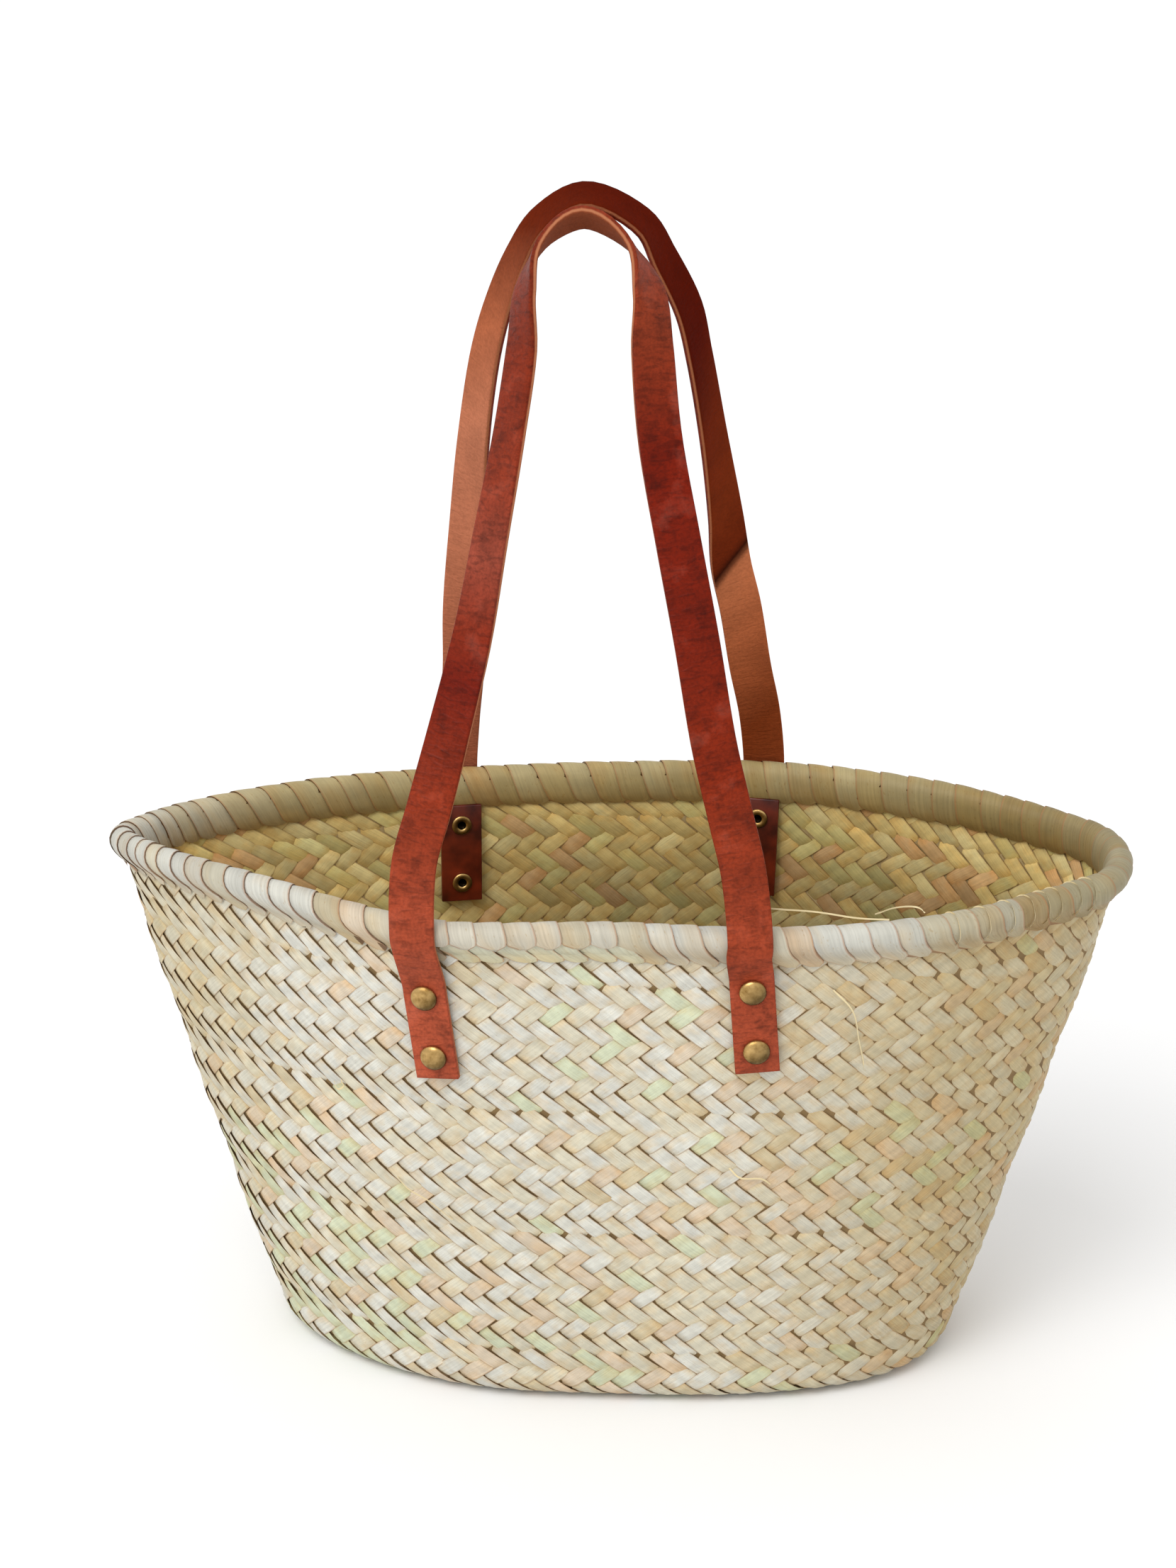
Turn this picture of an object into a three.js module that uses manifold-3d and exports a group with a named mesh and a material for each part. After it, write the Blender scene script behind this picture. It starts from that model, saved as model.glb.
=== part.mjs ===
// A plaited palm-leaf basket bag with two long leather shoulder straps.
// Millimetres, +Z up, +X to the right of the front, -Y towards the front.
// The origin is on the ground, under the middle of the basket.

import * as THREE from 'three';
import { mergeVertices } from 'three/addons/utils/BufferGeometryUtils.js';
import Module from 'manifold-3d';

const wasm = await Module();
wasm.setup();

// Basket
const RIM_LENGTH = 430;        // over the wound rim, end to end
const RIM_DEPTH = 193;         // over the wound rim, front to back, before its table
const RIM_HEIGHT = 222;        // ground to the middle of the wound rim
const BASE_LENGTH = 290;
const BASE_DEPTH = 150;
const BASE_CORNER = 9;         // radius where the base turns up into the wall
const WALL = 3;                // thickness of the plaited bands
const BAND_HEIGHT = 58.5;      // one sewn band, seam to seam
const FIRST_SEAM = 25;         // height of the lowest seam
const BAND_CROWN = 1.2;        // how far a band stands out between its seams
const WALL_BELLY = 1;          // how far the wall bows out halfway up

// Wound rim
const RIM_ROLL = 13;           // diameter of the roll
const SLOT_GAP = 0.5;          // clearance of its slot round the wall's bent top edge
const GAP = 0.3;               // clearance between other neighbouring pieces

// Straps
const STRAP_WIDTH = 18;
const STRAP_THICKNESS = 3;
const END_MARGIN = 10;         // from the lower rivet to the strap's end
const FRONT_ARCH_HEIGHT = 270; // middle of the rim up to the middle of the front strap's arch
const REAR_ARCH_HEIGHT = 276.5; // the rear strap passes over the front one
const APEX_X = -14;            // both arches top out a little left of the middle
const APEX_DEPTH = 4.5;        // the front arch stands this far before the middle plane, the rear behind
const RIM_ROOM = 0.8;          // more room where a strap bends past the wound rim
const BELOW_RIM = -0.35;       // a strap meets the roll between these angles from level, in radians
const ABOVE_RIM = 0.25;

// Backing tabs inside the wall
const TAB_WIDTH = 18;
const TAB_HEIGHT = 45;
const TAB_THICKNESS = 2.5;
const TAB_ROOM = 0.6;          // more room behind a tab, because the wall is hollow there

// Rivets
const RIVET_DROP = 22;         // middle of the rim down to an upper rivet, before its table
const RIVET_SPACING = 27;
const CAP_RADIUS = 5.5;
const CAP_HEIGHT = 2.2;        // rise of the cap's dome
const CAP_EDGE = 0.7;
const CAP_SHOULDER = 0.6;      // share of the cap's radius where its dome starts to flatten
const SHOULDER_RISE = 0.75;    // share of the dome's height reached there
const POST_RADIUS = 2.4;
const RING_RADIUS = 4.4;
const RING_THICKNESS = 1.2;
const RING_HOLE = 1.8;
const RING_HOLE_DEPTH = 4;

// Fineness of the faceted solids
const AROUND = 80;
const CORNER_STEPS = 3;
const ROWS_PER_BAND = 3;
const ROLL_STEPS = 10;
const STRAP_STEPS_PER_ROW = 3;
const RIVET_SIDES = 10;
const HOLE_SIDES = 10;
const TURN_STEP = 0.01;        // radians either way when the outline's direction is measured
const HEIGHT_STEP = 4;         // millimetres either way when the wall's slope is measured
const HALVINGS = 40;           // of the half turn in which a given x is looked for

// The rim from above and from the front. along is the share of the half length, from the left end
// to the right end. front, back and base are shares of an ellipse's half depth there: the left end
// is pinched, the right end rounder. front_rise and back_rise are shares of the rim height.
const STATIONS = [
  { along: -1.00, front: 0.46, back: 0.46, base: 0.90, front_rise: 0.000, back_rise: 0.000 },
  { along: -0.90, front: 0.64, back: 0.66, base: 0.98, front_rise: 0.005, back_rise: 0.000 },
  { along: -0.65, front: 0.87, back: 0.86, base: 1.03, front_rise: 0.012, back_rise: -0.005 },
  { along: -0.35, front: 1.02, back: 0.95, base: 1.04, front_rise: -0.004, back_rise: -0.013 },
  { along: 0.00, front: 0.99, back: 0.99, base: 1.00, front_rise: 0.004, back_rise: -0.009 },
  { along: 0.35, front: 1.02, back: 1.02, base: 1.04, front_rise: -0.004, back_rise: 0.001 },
  { along: 0.65, front: 1.03, back: 1.00, base: 1.12, front_rise: -0.001, back_rise: 0.001 },
  { along: 0.90, front: 0.98, back: 1.01, base: 1.26, front_rise: 0.004, back_rise: -0.004 },
  { along: 1.00, front: 1.16, back: 1.16, base: 1.36, front_rise: 0.000, back_rise: 0.000 },
];

// Where the straps' legs are riveted. along is where the upper rivet stands, as a share of half the
// rim's length, and drop its depth below the rim, as a share of RIVET_DROP. lean is how far the leg
// moves to the right for each millimetre up the wall.
const FEET = [
  { side: 'front', leg: 'left', along: -0.333, drop: 1.23, lean: -0.12 },
  { side: 'front', leg: 'right', along: 0.270, drop: 0.91, lean: -0.07 },
  { side: 'rear', leg: 'left', along: -0.344, drop: 1.00, lean: 0 },
  { side: 'rear', leg: 'right', along: 0.272, drop: 0.86, lean: 0.03 },
];

// The straps above the rim, from the left leg over the arch to the right leg. rise is the share of
// the way from the rim up to the arch. across is the share of the way from the arch's middle out to
// that leg's foot. turn is how far the strap is turned from facing the front, in degrees: its inner
// edge comes forward as it turns.
const FRONT_STRAP = [
  { leg: 'left', rise: 0.10, across: 0.995, turn: 2 },
  { leg: 'left', rise: 0.18, across: 0.905, turn: 10 },
  { leg: 'left', rise: 0.28, across: 0.795, turn: 24 },
  { leg: 'left', rise: 0.42, across: 0.650, turn: 34 },
  { leg: 'left', rise: 0.56, across: 0.545, turn: 43 },
  { leg: 'left', rise: 0.70, across: 0.440, turn: 50 },
  { leg: 'left', rise: 0.82, across: 0.370, turn: 52 },
  { leg: 'left', rise: 0.90, across: 0.355, turn: 68 },
  { leg: 'left', rise: 0.965, across: 0.250, turn: 104 },
  { leg: 'right', rise: 1.00, across: 0.000, turn: 126 },
  { leg: 'right', rise: 0.965, across: 0.250, turn: 106 },
  { leg: 'right', rise: 0.90, across: 0.370, turn: 58 },
  { leg: 'right', rise: 0.82, across: 0.395, turn: 32 },
  { leg: 'right', rise: 0.70, across: 0.445, turn: 24 },
  { leg: 'right', rise: 0.56, across: 0.555, turn: 16 },
  { leg: 'right', rise: 0.42, across: 0.670, turn: 12 },
  { leg: 'right', rise: 0.28, across: 0.775, turn: 14 },
  { leg: 'right', rise: 0.18, across: 0.875, turn: 6 },
  { leg: 'right', rise: 0.10, across: 0.955, turn: 4 },
];
const REAR_STRAP = [
  { leg: 'left', rise: 0.10, across: 0.965, turn: 2 },
  { leg: 'left', rise: 0.19, across: 0.920, turn: 6 },
  { leg: 'left', rise: 0.30, across: 0.900, turn: 15 },
  { leg: 'left', rise: 0.45, across: 0.840, turn: 31 },
  { leg: 'left', rise: 0.60, across: 0.775, turn: 45 },
  { leg: 'left', rise: 0.74, across: 0.675, turn: 51 },
  { leg: 'left', rise: 0.82, across: 0.580, turn: 56 },
  { leg: 'left', rise: 0.90, across: 0.445, turn: 63 },
  { leg: 'left', rise: 0.96, across: 0.285, turn: 68 },
  { leg: 'right', rise: 1.00, across: 0.000, turn: 74 },
  { leg: 'right', rise: 0.96, across: 0.300, turn: 72 },
  { leg: 'right', rise: 0.90, across: 0.420, turn: 65 },
  { leg: 'right', rise: 0.82, across: 0.550, turn: 62 },
  { leg: 'right', rise: 0.74, across: 0.610, turn: 64 },
  { leg: 'right', rise: 0.60, across: 0.690, turn: 60 },
  { leg: 'right', rise: 0.47, across: 0.755, turn: 45 },
  { leg: 'right', rise: 0.38, across: 0.790, turn: 26 },
  { leg: 'right', rise: 0.30, across: 0.850, turn: 14 },
  { leg: 'right', rise: 0.19, across: 0.910, turn: 8 },
  { leg: 'right', rise: 0.10, across: 0.970, turn: 2 },
];

// Materials
const straw = new THREE.MeshStandardMaterial({ color: '#ded6b0', roughness: 0.75, metalness: 0 });
const roll = new THREE.MeshStandardMaterial({ color: '#d9cfa6', roughness: 0.7, metalness: 0 });
const leather = new THREE.MeshStandardMaterial({ color: '#9c4530', roughness: 0.55, metalness: 0 });
const backing = new THREE.MeshStandardMaterial({ color: '#5a1c10', roughness: 0.35, metalness: 0 });
const brass = new THREE.MeshStandardMaterial({ color: '#96803f', roughness: 0.4, metalness: 1 });

// Sizes that follow from the driving ones
const ROLL_RADIUS = RIM_ROLL / 2;
const RIM_HALF_LENGTH = RIM_LENGTH / 2 - ROLL_RADIUS + WALL / 2;
const RIM_HALF_DEPTH = RIM_DEPTH / 2 - ROLL_RADIUS + WALL / 2;
const STRAP_OFFSET = BAND_CROWN + GAP + STRAP_THICKNESS / 2;
const TAB_OFFSET = WALL + GAP + TAB_ROOM + TAB_THICKNESS / 2;
const GRIP = STRAP_OFFSET + STRAP_THICKNESS / 2 + TAB_OFFSET + TAB_THICKNESS / 2 + 2 * GAP;

// Smooth reading of a table column: a cubic through the rows, as flat or steep as their neighbours
function readTable(rows, key, column, at) {
  const last = rows.length - 1;
  let i = 0;
  while (i < last - 1 && rows[i + 1][key] < at) i += 1;
  const slope = (j) => {
    const before = rows[Math.max(j - 1, 0)];
    const after = rows[Math.min(j + 1, last)];
    return (after[column] - before[column]) / (after[key] - before[key]);
  };
  const width = rows[i + 1][key] - rows[i][key];
  const t = (at - rows[i][key]) / width;
  return rows[i][column] * (2 * t ** 3 - 3 * t ** 2 + 1)
    + rows[i + 1][column] * (3 * t ** 2 - 2 * t ** 3)
    + slope(i) * width * (t ** 3 - 2 * t ** 2 + t)
    + slope(i + 1) * width * (t ** 3 - t ** 2);
}

// Height of the middle of the rim at a turn round the basket: 0 is the right end, 3/4 turn the front
function rimHeight(turn) {
  const column = Math.sin(turn) < 0 ? 'front_rise' : 'back_rise';
  return RIM_HEIGHT * (1 + readTable(STATIONS, 'along', column, Math.cos(turn)));
}

// How far the bands stand out at a height: nothing at a seam or under the rim
function crown(height) {
  const lastSeam = FIRST_SEAM + BAND_HEIGHT * Math.floor((RIM_HEIGHT - FIRST_SEAM) / BAND_HEIGHT);
  if (height < FIRST_SEAM || height > lastSeam) return 0;
  return BAND_CROWN * Math.abs(Math.sin(Math.PI * (height - FIRST_SEAM) / BAND_HEIGHT));
}

// Outline of the outer wall at a height, before any inset
function outline(turn, height) {
  const share = height / rimHeight(turn);
  const side = Math.sin(turn) < 0 ? 'front' : 'back';
  const fullness = readTable(STATIONS, 'along', side, Math.cos(turn));
  const baseFullness = readTable(STATIONS, 'along', 'base', Math.cos(turn));
  const belly = WALL_BELLY * 4 * share * (1 - share);
  const rim = new THREE.Vector3(
    RIM_HALF_LENGTH * Math.cos(turn), RIM_HALF_DEPTH * fullness * Math.sin(turn), height);
  const base = new THREE.Vector3(
    BASE_LENGTH / 2 * Math.cos(turn), BASE_DEPTH / 2 * baseFullness * Math.sin(turn), height);
  const point = base.lerp(rim, share);
  const length = Math.hypot(point.x, point.y);
  point.x *= 1 + belly / length;
  point.y *= 1 + belly / length;
  return point;
}

// Outward direction of the outline at a height, level with the ground
function levelNormal(turn, height) {
  const ahead = outline(turn + TURN_STEP, height);
  const behind = outline(turn - TURN_STEP, height);
  const along = ahead.sub(behind);
  return new THREE.Vector3(along.y, -along.x, 0).normalize();
}

function wallPoint(turn, height, inset, standOut = crown(height)) {
  return outline(turn, height).addScaledVector(levelNormal(turn, height), standOut - inset);
}

// Frame of the wall at a turn: out of the wall, up along it, and round the basket
function wallFrame(turn, height) {
  const above = wallPoint(turn, height + HEIGHT_STEP, 0, 0);
  const below = wallPoint(turn, height - HEIGHT_STEP, 0, 0);
  const up = above.sub(below).normalize();
  const level = levelNormal(turn, height);
  const out = level.addScaledVector(up, -level.dot(up)).normalize();
  const round = new THREE.Vector3().crossVectors(out, up).normalize();
  return { out, up, round };
}

// The turn at which the front or back wall has a given x at a height
function turnAt(side, x, height) {
  let low = side === 'front' ? Math.PI : 0;
  let high = low + Math.PI;
  for (let i = 0; i < HALVINGS; i += 1) {
    const middle = (low + high) / 2;
    const growing = side === 'front';
    if ((outline(middle, height).x < x) === growing) low = middle;
    else high = middle;
  }
  return (low + high) / 2;
}

// Closed mesh through rings of points, each ring a list of the same length
function loft(rings, capped) {
  const count = rings[0].length;
  const positions = rings.flat().flatMap((point) => [point.x, point.y, point.z]);
  const faces = [];
  const last = capped ? rings.length - 1 : rings.length;
  for (let i = 0; i < last; i += 1) {
    const next = (i + 1) % rings.length;
    for (let j = 0; j < count; j += 1) {
      const k = (j + 1) % count;
      faces.push(i * count + j, i * count + k, next * count + k);
      faces.push(i * count + j, next * count + k, next * count + j);
    }
  }
  if (capped) {
    [0, rings.length - 1].forEach((ring, end) => {
      const middle = rings[ring].reduce((sum, point) => sum.add(point), new THREE.Vector3());
      middle.divideScalar(count);
      const centre = positions.length / 3;
      positions.push(middle.x, middle.y, middle.z);
      for (let j = 0; j < count; j += 1) {
        const a = ring * count + j;
        const b = ring * count + (j + 1) % count;
        if (end === 0) faces.push(centre, b, a);
        else faces.push(centre, a, b);
      }
    });
  }
  const geometry = new THREE.BufferGeometry();
  geometry.setAttribute('position', new THREE.Float32BufferAttribute(positions, 3));
  geometry.setIndex(faces);
  return geometry;
}

function toSolid(geometry) {
  const bare = geometry.clone();
  bare.deleteAttribute('normal');
  bare.deleteAttribute('uv');
  const merged = mergeVertices(bare, 1e-4);
  return new wasm.Manifold(new wasm.Mesh({
    numProp: 3,
    vertProperties: new Float32Array(merged.attributes.position.array),
    triVerts: new Uint32Array(merged.index.array),
  }));
}

function fromSolid(solid) {
  const mesh = solid.getMesh();
  const geometry = new THREE.BufferGeometry();
  geometry.setAttribute('position', new THREE.Float32BufferAttribute(mesh.vertProperties, 3));
  geometry.setIndex(Array.from(mesh.triVerts));
  return geometry;
}

function drill(geometry, holes) {
  return fromSolid(holes.reduce((solid, hole) => solid.subtract(toSolid(hole)), toSolid(geometry)));
}

function mesh(name, geometry, material) {
  const piece = new THREE.Mesh(geometry, material);
  piece.name = name;
  return piece;
}

// Heights of the rows of points up the wall, above the rounded corner
function wallRows() {
  const rows = [BASE_CORNER];
  for (let seam = FIRST_SEAM; seam < RIM_HEIGHT - ROLL_RADIUS; seam += BAND_HEIGHT) {
    for (let i = 0; i < ROWS_PER_BAND; i += 1) {
      const height = seam + BAND_HEIGHT * i / ROWS_PER_BAND;
      if (height < RIM_HEIGHT - ROLL_RADIUS) rows.push(height);
    }
  }
  return rows;
}

function ringOf(place) {
  return Array.from({ length: AROUND }, (_, i) => place(2 * Math.PI * i / AROUND));
}

// The hollow plaited body: outside from the middle of the base up, over the edge and down inside
function basketBody() {
  const inside = [];
  const outside = [];
  for (let i = 0; i <= CORNER_STEPS; i += 1) {
    const angle = Math.PI / 2 * i / CORNER_STEPS;
    const sink = 1 - Math.sin(angle);
    const rise = 1 - Math.cos(angle);
    const inner = BASE_CORNER - WALL;
    outside.push(ringOf((t) => wallPoint(t, BASE_CORNER * rise, BASE_CORNER * sink, 0)));
    inside.push(ringOf((t) => wallPoint(t, WALL + inner * rise, WALL + inner * sink, 0)));
  }
  wallRows().slice(1).forEach((height) => {
    outside.push(ringOf((t) => wallPoint(t, height, 0)));
    inside.push(ringOf((t) => wallPoint(t, height, WALL)));
  });
  outside.push(ringOf((t) => wallPoint(t, rimHeight(t), 0, 0)));
  inside.push(ringOf((t) => wallPoint(t, rimHeight(t), WALL, 0)));
  return loft([...outside, ...inside.reverse()], true);
}

// Middle of the wound roll, on the middle of the wall's top edge
function rimCentre(turn) {
  return wallPoint(turn, rimHeight(turn), WALL / 2, 0);
}

// The wound rim: a round roll, slotted to sit over the wall's top edge
function rimBinding() {
  const slot = WALL / 2 + SLOT_GAP;
  const opening = Math.asin(slot / ROLL_RADIUS);
  const section = [];
  for (let i = 0; i <= ROLL_STEPS; i += 1) {
    const angle = -Math.PI / 2 + opening + (2 * Math.PI - 2 * opening) * i / ROLL_STEPS;
    section.push({ out: ROLL_RADIUS * Math.cos(angle), up: ROLL_RADIUS * Math.sin(angle) });
  }
  section.push({ out: -slot, up: SLOT_GAP + GAP }, { out: slot, up: SLOT_GAP + GAP });
  const rings = ringOf((turn) => {
    const { out, up } = wallFrame(turn, rimHeight(turn));
    const centre = rimCentre(turn);
    return section.map((point) => centre.clone()
      .addScaledVector(out, point.out).addScaledVector(up, point.up));
  });
  return loft(rings.reverse(), false);
}

// Height of a leg's upper rivet
function upperRivet(foot) {
  return RIM_HEIGHT - RIVET_DROP * foot.drop;
}

// Where a leg's middle line crosses a height
function legX(foot, height) {
  return RIM_LENGTH / 2 * foot.along + foot.lean * (height - upperRivet(foot));
}

// Middle of a strap where it lies on the outside of the wall
function strapOnWall(foot, height) {
  const turn = turnAt(foot.side, legX(foot, height), height);
  const { out } = wallFrame(turn, height);
  return wallPoint(turn, height, 0, 0).addScaledVector(out, STRAP_OFFSET);
}

// Middle of a strap where it passes outside the wound rim, leaning back over it
function strapOverRim(foot, angle) {
  const turn = turnAt(foot.side, legX(foot, RIM_HEIGHT), RIM_HEIGHT);
  const { out, up } = wallFrame(turn, rimHeight(turn));
  const reach = ROLL_RADIUS + GAP + RIM_ROOM + STRAP_THICKNESS / 2;
  return rimCentre(turn)
    .addScaledVector(out, reach * Math.cos(angle))
    .addScaledVector(up, reach * Math.sin(angle));
}

// How far a strap that faces the front is turned to lie flat on the wall there
function turnOnWall(foot, tangent) {
  const height = upperRivet(foot);
  const { out } = wallFrame(turnAt(foot.side, legX(foot, height), height), height);
  const face = foot.side === 'front' ? out : out.clone().negate();
  const { ahead, inner } = facingFrame(tangent);
  return THREE.MathUtils.radToDeg(Math.atan2(-face.dot(inner), face.dot(ahead)));
}

// Across a strap that faces the front: straight ahead, and in the strap towards the arch's inside
function facingFrame(tangent) {
  const ahead = new THREE.Vector3(0, -1, 0);
  ahead.addScaledVector(tangent, -ahead.dot(tangent)).normalize();
  const inner = new THREE.Vector3().crossVectors(tangent, ahead).normalize();
  return { ahead, inner };
}

// The rows of a strap's route from one lower end, over the arch, to the other
function strapRoute(side, table, arch) {
  const apexDepth = side === 'front' ? -APEX_DEPTH : APEX_DEPTH;
  const feet = Object.fromEntries(
    FEET.filter((foot) => foot.side === side).map((foot) => [foot.leg, foot]));
  const onWall = (foot) => {
    const tangent = new THREE.Vector3(0, 0, foot.leg === 'left' ? 1 : -1);
    const turn = turnOnWall(foot, tangent);
    const upper = upperRivet(foot);
    const lower = upper - RIVET_SPACING;
    const rows = [lower - END_MARGIN, lower, upper, upper + CAP_RADIUS]
      .map((height) => ({ point: strapOnWall(foot, height), turn }));
    rows.push({ point: strapOverRim(foot, BELOW_RIM), turn });
    rows.push({ point: strapOverRim(foot, ABOVE_RIM), turn: turn / 2 });
    return rows;
  };
  const above = table.map((row) => {
    const start = strapOverRim(feet[row.leg], ABOVE_RIM);
    const x = THREE.MathUtils.lerp(APEX_X, start.x, row.across);
    const y = THREE.MathUtils.lerp(start.y, apexDepth, row.rise);
    const z = THREE.MathUtils.lerp(start.z, RIM_HEIGHT + arch, row.rise);
    return { point: new THREE.Vector3(x, y, z), turn: row.turn };
  });
  return [...onWall(feet.left), ...above, ...onWall(feet.right).reverse()];
}

// Sections of a strap along its route: middle, across the width, and out of its visible face
function strapSections(side, table, arch) {
  const rows = strapRoute(side, table, arch);
  const curve = new THREE.CatmullRomCurve3(rows.map((row) => row.point), false, 'centripetal');
  const numbered = rows.map((row, index) => ({ index, turn: row.turn }));
  const steps = (rows.length - 1) * STRAP_STEPS_PER_ROW;
  return Array.from({ length: steps + 1 }, (_, i) => {
    const share = i / steps;
    const tangent = curve.getTangent(share);
    const turn = THREE.MathUtils.degToRad(
      readTable(numbered, 'index', 'turn', share * (rows.length - 1)));
    const { ahead, inner } = facingFrame(tangent);
    const across = inner.clone().multiplyScalar(Math.cos(turn)).addScaledVector(ahead, Math.sin(turn));
    const face = ahead.clone().multiplyScalar(Math.cos(turn)).addScaledVector(inner, -Math.sin(turn));
    return { point: curve.getPoint(share), across, face };
  });
}

function strap(side, table, arch) {
  const w = STRAP_WIDTH / 2;
  const t = STRAP_THICKNESS / 2;
  const corners = [[-w, -t], [-w, t], [w, t], [w, -t]];
  const rings = strapSections(side, table, arch).map(({ point, across, face }) => corners.map(
    ([width, thick]) => point.clone().addScaledVector(across, width).addScaledVector(face, thick)));
  return loft(rings, true);
}

// Where each rivet sits: on the outline of the wall, with the wall's own frame
function rivetSeats(foot) {
  const upper = upperRivet(foot);
  return [['upper', upper], ['lower', upper - RIVET_SPACING]].map(([level, height]) => {
    const turn = turnAt(foot.side, legX(foot, height), height);
    return { level, point: wallPoint(turn, height, 0, 0), frame: wallFrame(turn, height) };
  });
}

// Turns a shape made along its own +Y to point out of the wall at a seat
function seatOnWall(geometry, seat) {
  const { out, up, round } = seat.frame;
  const matrix = new THREE.Matrix4().makeBasis(round, out, up);
  matrix.setPosition(seat.point);
  return geometry.applyMatrix4(matrix);
}

function rivetHole(seat) {
  const hole = new THREE.CylinderGeometry(POST_RADIUS + GAP, POST_RADIUS + GAP, 3 * GRIP, HOLE_SIDES);
  return seatOnWall(hole, seat);
}

// One rivet: a domed cap outside, a post through everything, and a ring end inside
function rivet(seat) {
  const capFace = STRAP_OFFSET + STRAP_THICKNESS / 2 + GAP;
  const ringFace = capFace - GRIP;
  const ringEnd = ringFace - RING_THICKNESS;
  const profile = [
    [0, ringEnd + RING_HOLE_DEPTH],
    [RING_HOLE, ringEnd + RING_HOLE_DEPTH],
    [RING_HOLE, ringEnd + RING_THICKNESS / 2],
    [(RING_HOLE + RING_RADIUS) / 2, ringEnd],
    [RING_RADIUS, ringEnd + RING_THICKNESS / 2],
    [RING_RADIUS, ringFace],
    [POST_RADIUS, ringFace],
    [POST_RADIUS, capFace],
    [CAP_RADIUS, capFace],
    [CAP_RADIUS, capFace + CAP_EDGE],
    [CAP_RADIUS * CAP_SHOULDER, capFace + CAP_EDGE + CAP_HEIGHT * SHOULDER_RISE],
    [0, capFace + CAP_EDGE + CAP_HEIGHT],
  ].map(([radius, height]) => new THREE.Vector2(radius, height));
  return seatOnWall(fromSolid(toSolid(new THREE.LatheGeometry(profile, RIVET_SIDES))), seat);
}

// A backing tab: a flat piece of leather inside the wall under one strap end
function backingTab(seats) {
  const [upper, lower] = seats;
  const middle = upper.point.clone().lerp(lower.point, 0.5);
  const up = upper.point.clone().sub(lower.point).normalize();
  const out = upper.frame.out.clone().add(lower.frame.out);
  out.addScaledVector(up, -out.dot(up)).normalize();
  const frame = { out, up, round: new THREE.Vector3().crossVectors(out, up).normalize() };
  const plate = new THREE.BoxGeometry(TAB_WIDTH, TAB_THICKNESS, TAB_HEIGHT);
  plate.translate(0, -TAB_OFFSET, 0);
  return seatOnWall(plate, { point: middle, frame });
}

const bag = new THREE.Group();
const legs = FEET.map((foot) => {
  const seats = rivetSeats(foot);
  return { foot, seats, holes: seats.map(rivetHole) };
});
const holesOf = (side) => legs.filter(({ foot }) => foot.side === side).flatMap(({ holes }) => holes);

bag.add(mesh('basket_body', drill(basketBody(), legs.flatMap(({ holes }) => holes)), straw));
bag.add(mesh('rim_binding', rimBinding(), roll));
bag.add(mesh('strap_front', drill(strap('front', FRONT_STRAP, FRONT_ARCH_HEIGHT), holesOf('front')), leather));
bag.add(mesh('strap_rear', drill(strap('rear', REAR_STRAP, REAR_ARCH_HEIGHT), holesOf('rear')), leather));
legs.forEach(({ foot, seats, holes }) => {
  bag.add(mesh(`tab_${foot.side}_${foot.leg}`, drill(backingTab(seats), holes), backing));
  seats.forEach((seat) => {
    bag.add(mesh(`rivet_${foot.side}_${foot.leg}_${seat.level}`, rivet(seat), brass));
  });
});

export default bag;
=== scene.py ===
# %% [markdown]
# A market basket bag: palm-leaf strands plaited into long bands, the bands sewn edge to edge into a
# boat-shaped basket, a wound rim, and leather shoulder straps riveted through the wall.
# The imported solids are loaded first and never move. They say where everything is, in metres, with +Z up
# and -Y towards the front. Each new piece stands for one of them and gives it its real surface.
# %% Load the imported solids
import math

import bmesh
import bpy
import numpy as np
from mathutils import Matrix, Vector


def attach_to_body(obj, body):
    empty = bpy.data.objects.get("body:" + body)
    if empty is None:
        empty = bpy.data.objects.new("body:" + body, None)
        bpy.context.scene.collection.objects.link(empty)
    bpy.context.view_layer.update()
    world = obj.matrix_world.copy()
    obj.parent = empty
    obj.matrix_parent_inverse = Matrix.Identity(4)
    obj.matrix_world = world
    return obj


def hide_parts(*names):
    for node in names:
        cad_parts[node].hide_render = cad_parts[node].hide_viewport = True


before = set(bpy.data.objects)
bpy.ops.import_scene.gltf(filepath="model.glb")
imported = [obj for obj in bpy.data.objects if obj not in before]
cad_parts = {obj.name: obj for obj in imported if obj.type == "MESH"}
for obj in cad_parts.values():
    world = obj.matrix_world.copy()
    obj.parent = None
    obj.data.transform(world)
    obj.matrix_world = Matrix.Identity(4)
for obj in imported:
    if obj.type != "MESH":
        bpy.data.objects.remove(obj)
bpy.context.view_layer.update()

# %% [markdown]
# The camera stands where the photographer stood: in front, a little to the right and above, looking
# down into the mouth. Its place and lens were worked out from points on the rim, the base and the
# rivets. A long lens keeps the bag's sides nearly straight, as in the photograph.
# %% Camera
CAMERA_PLACE = (0.06902, -1.39830, 0.82330)
CAMERA_TILT = 67.79            # degrees up from looking straight down
CAMERA_TURN = 3.33             # degrees to the left
LENS = 83.52                   # millimetres, on a frame 36 mm along its long side

camera_data = bpy.data.cameras.new("camera")
camera_data.lens = LENS
camera_data.sensor_width = 36
camera = bpy.data.objects.new("camera", camera_data)
camera.location = CAMERA_PLACE
camera.rotation_euler = (math.radians(CAMERA_TILT), 0, math.radians(CAMERA_TURN))
bpy.context.collection.objects.link(camera)
bpy.context.scene.camera = camera
print("camera at", CAMERA_PLACE, "lens", LENS)

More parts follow.
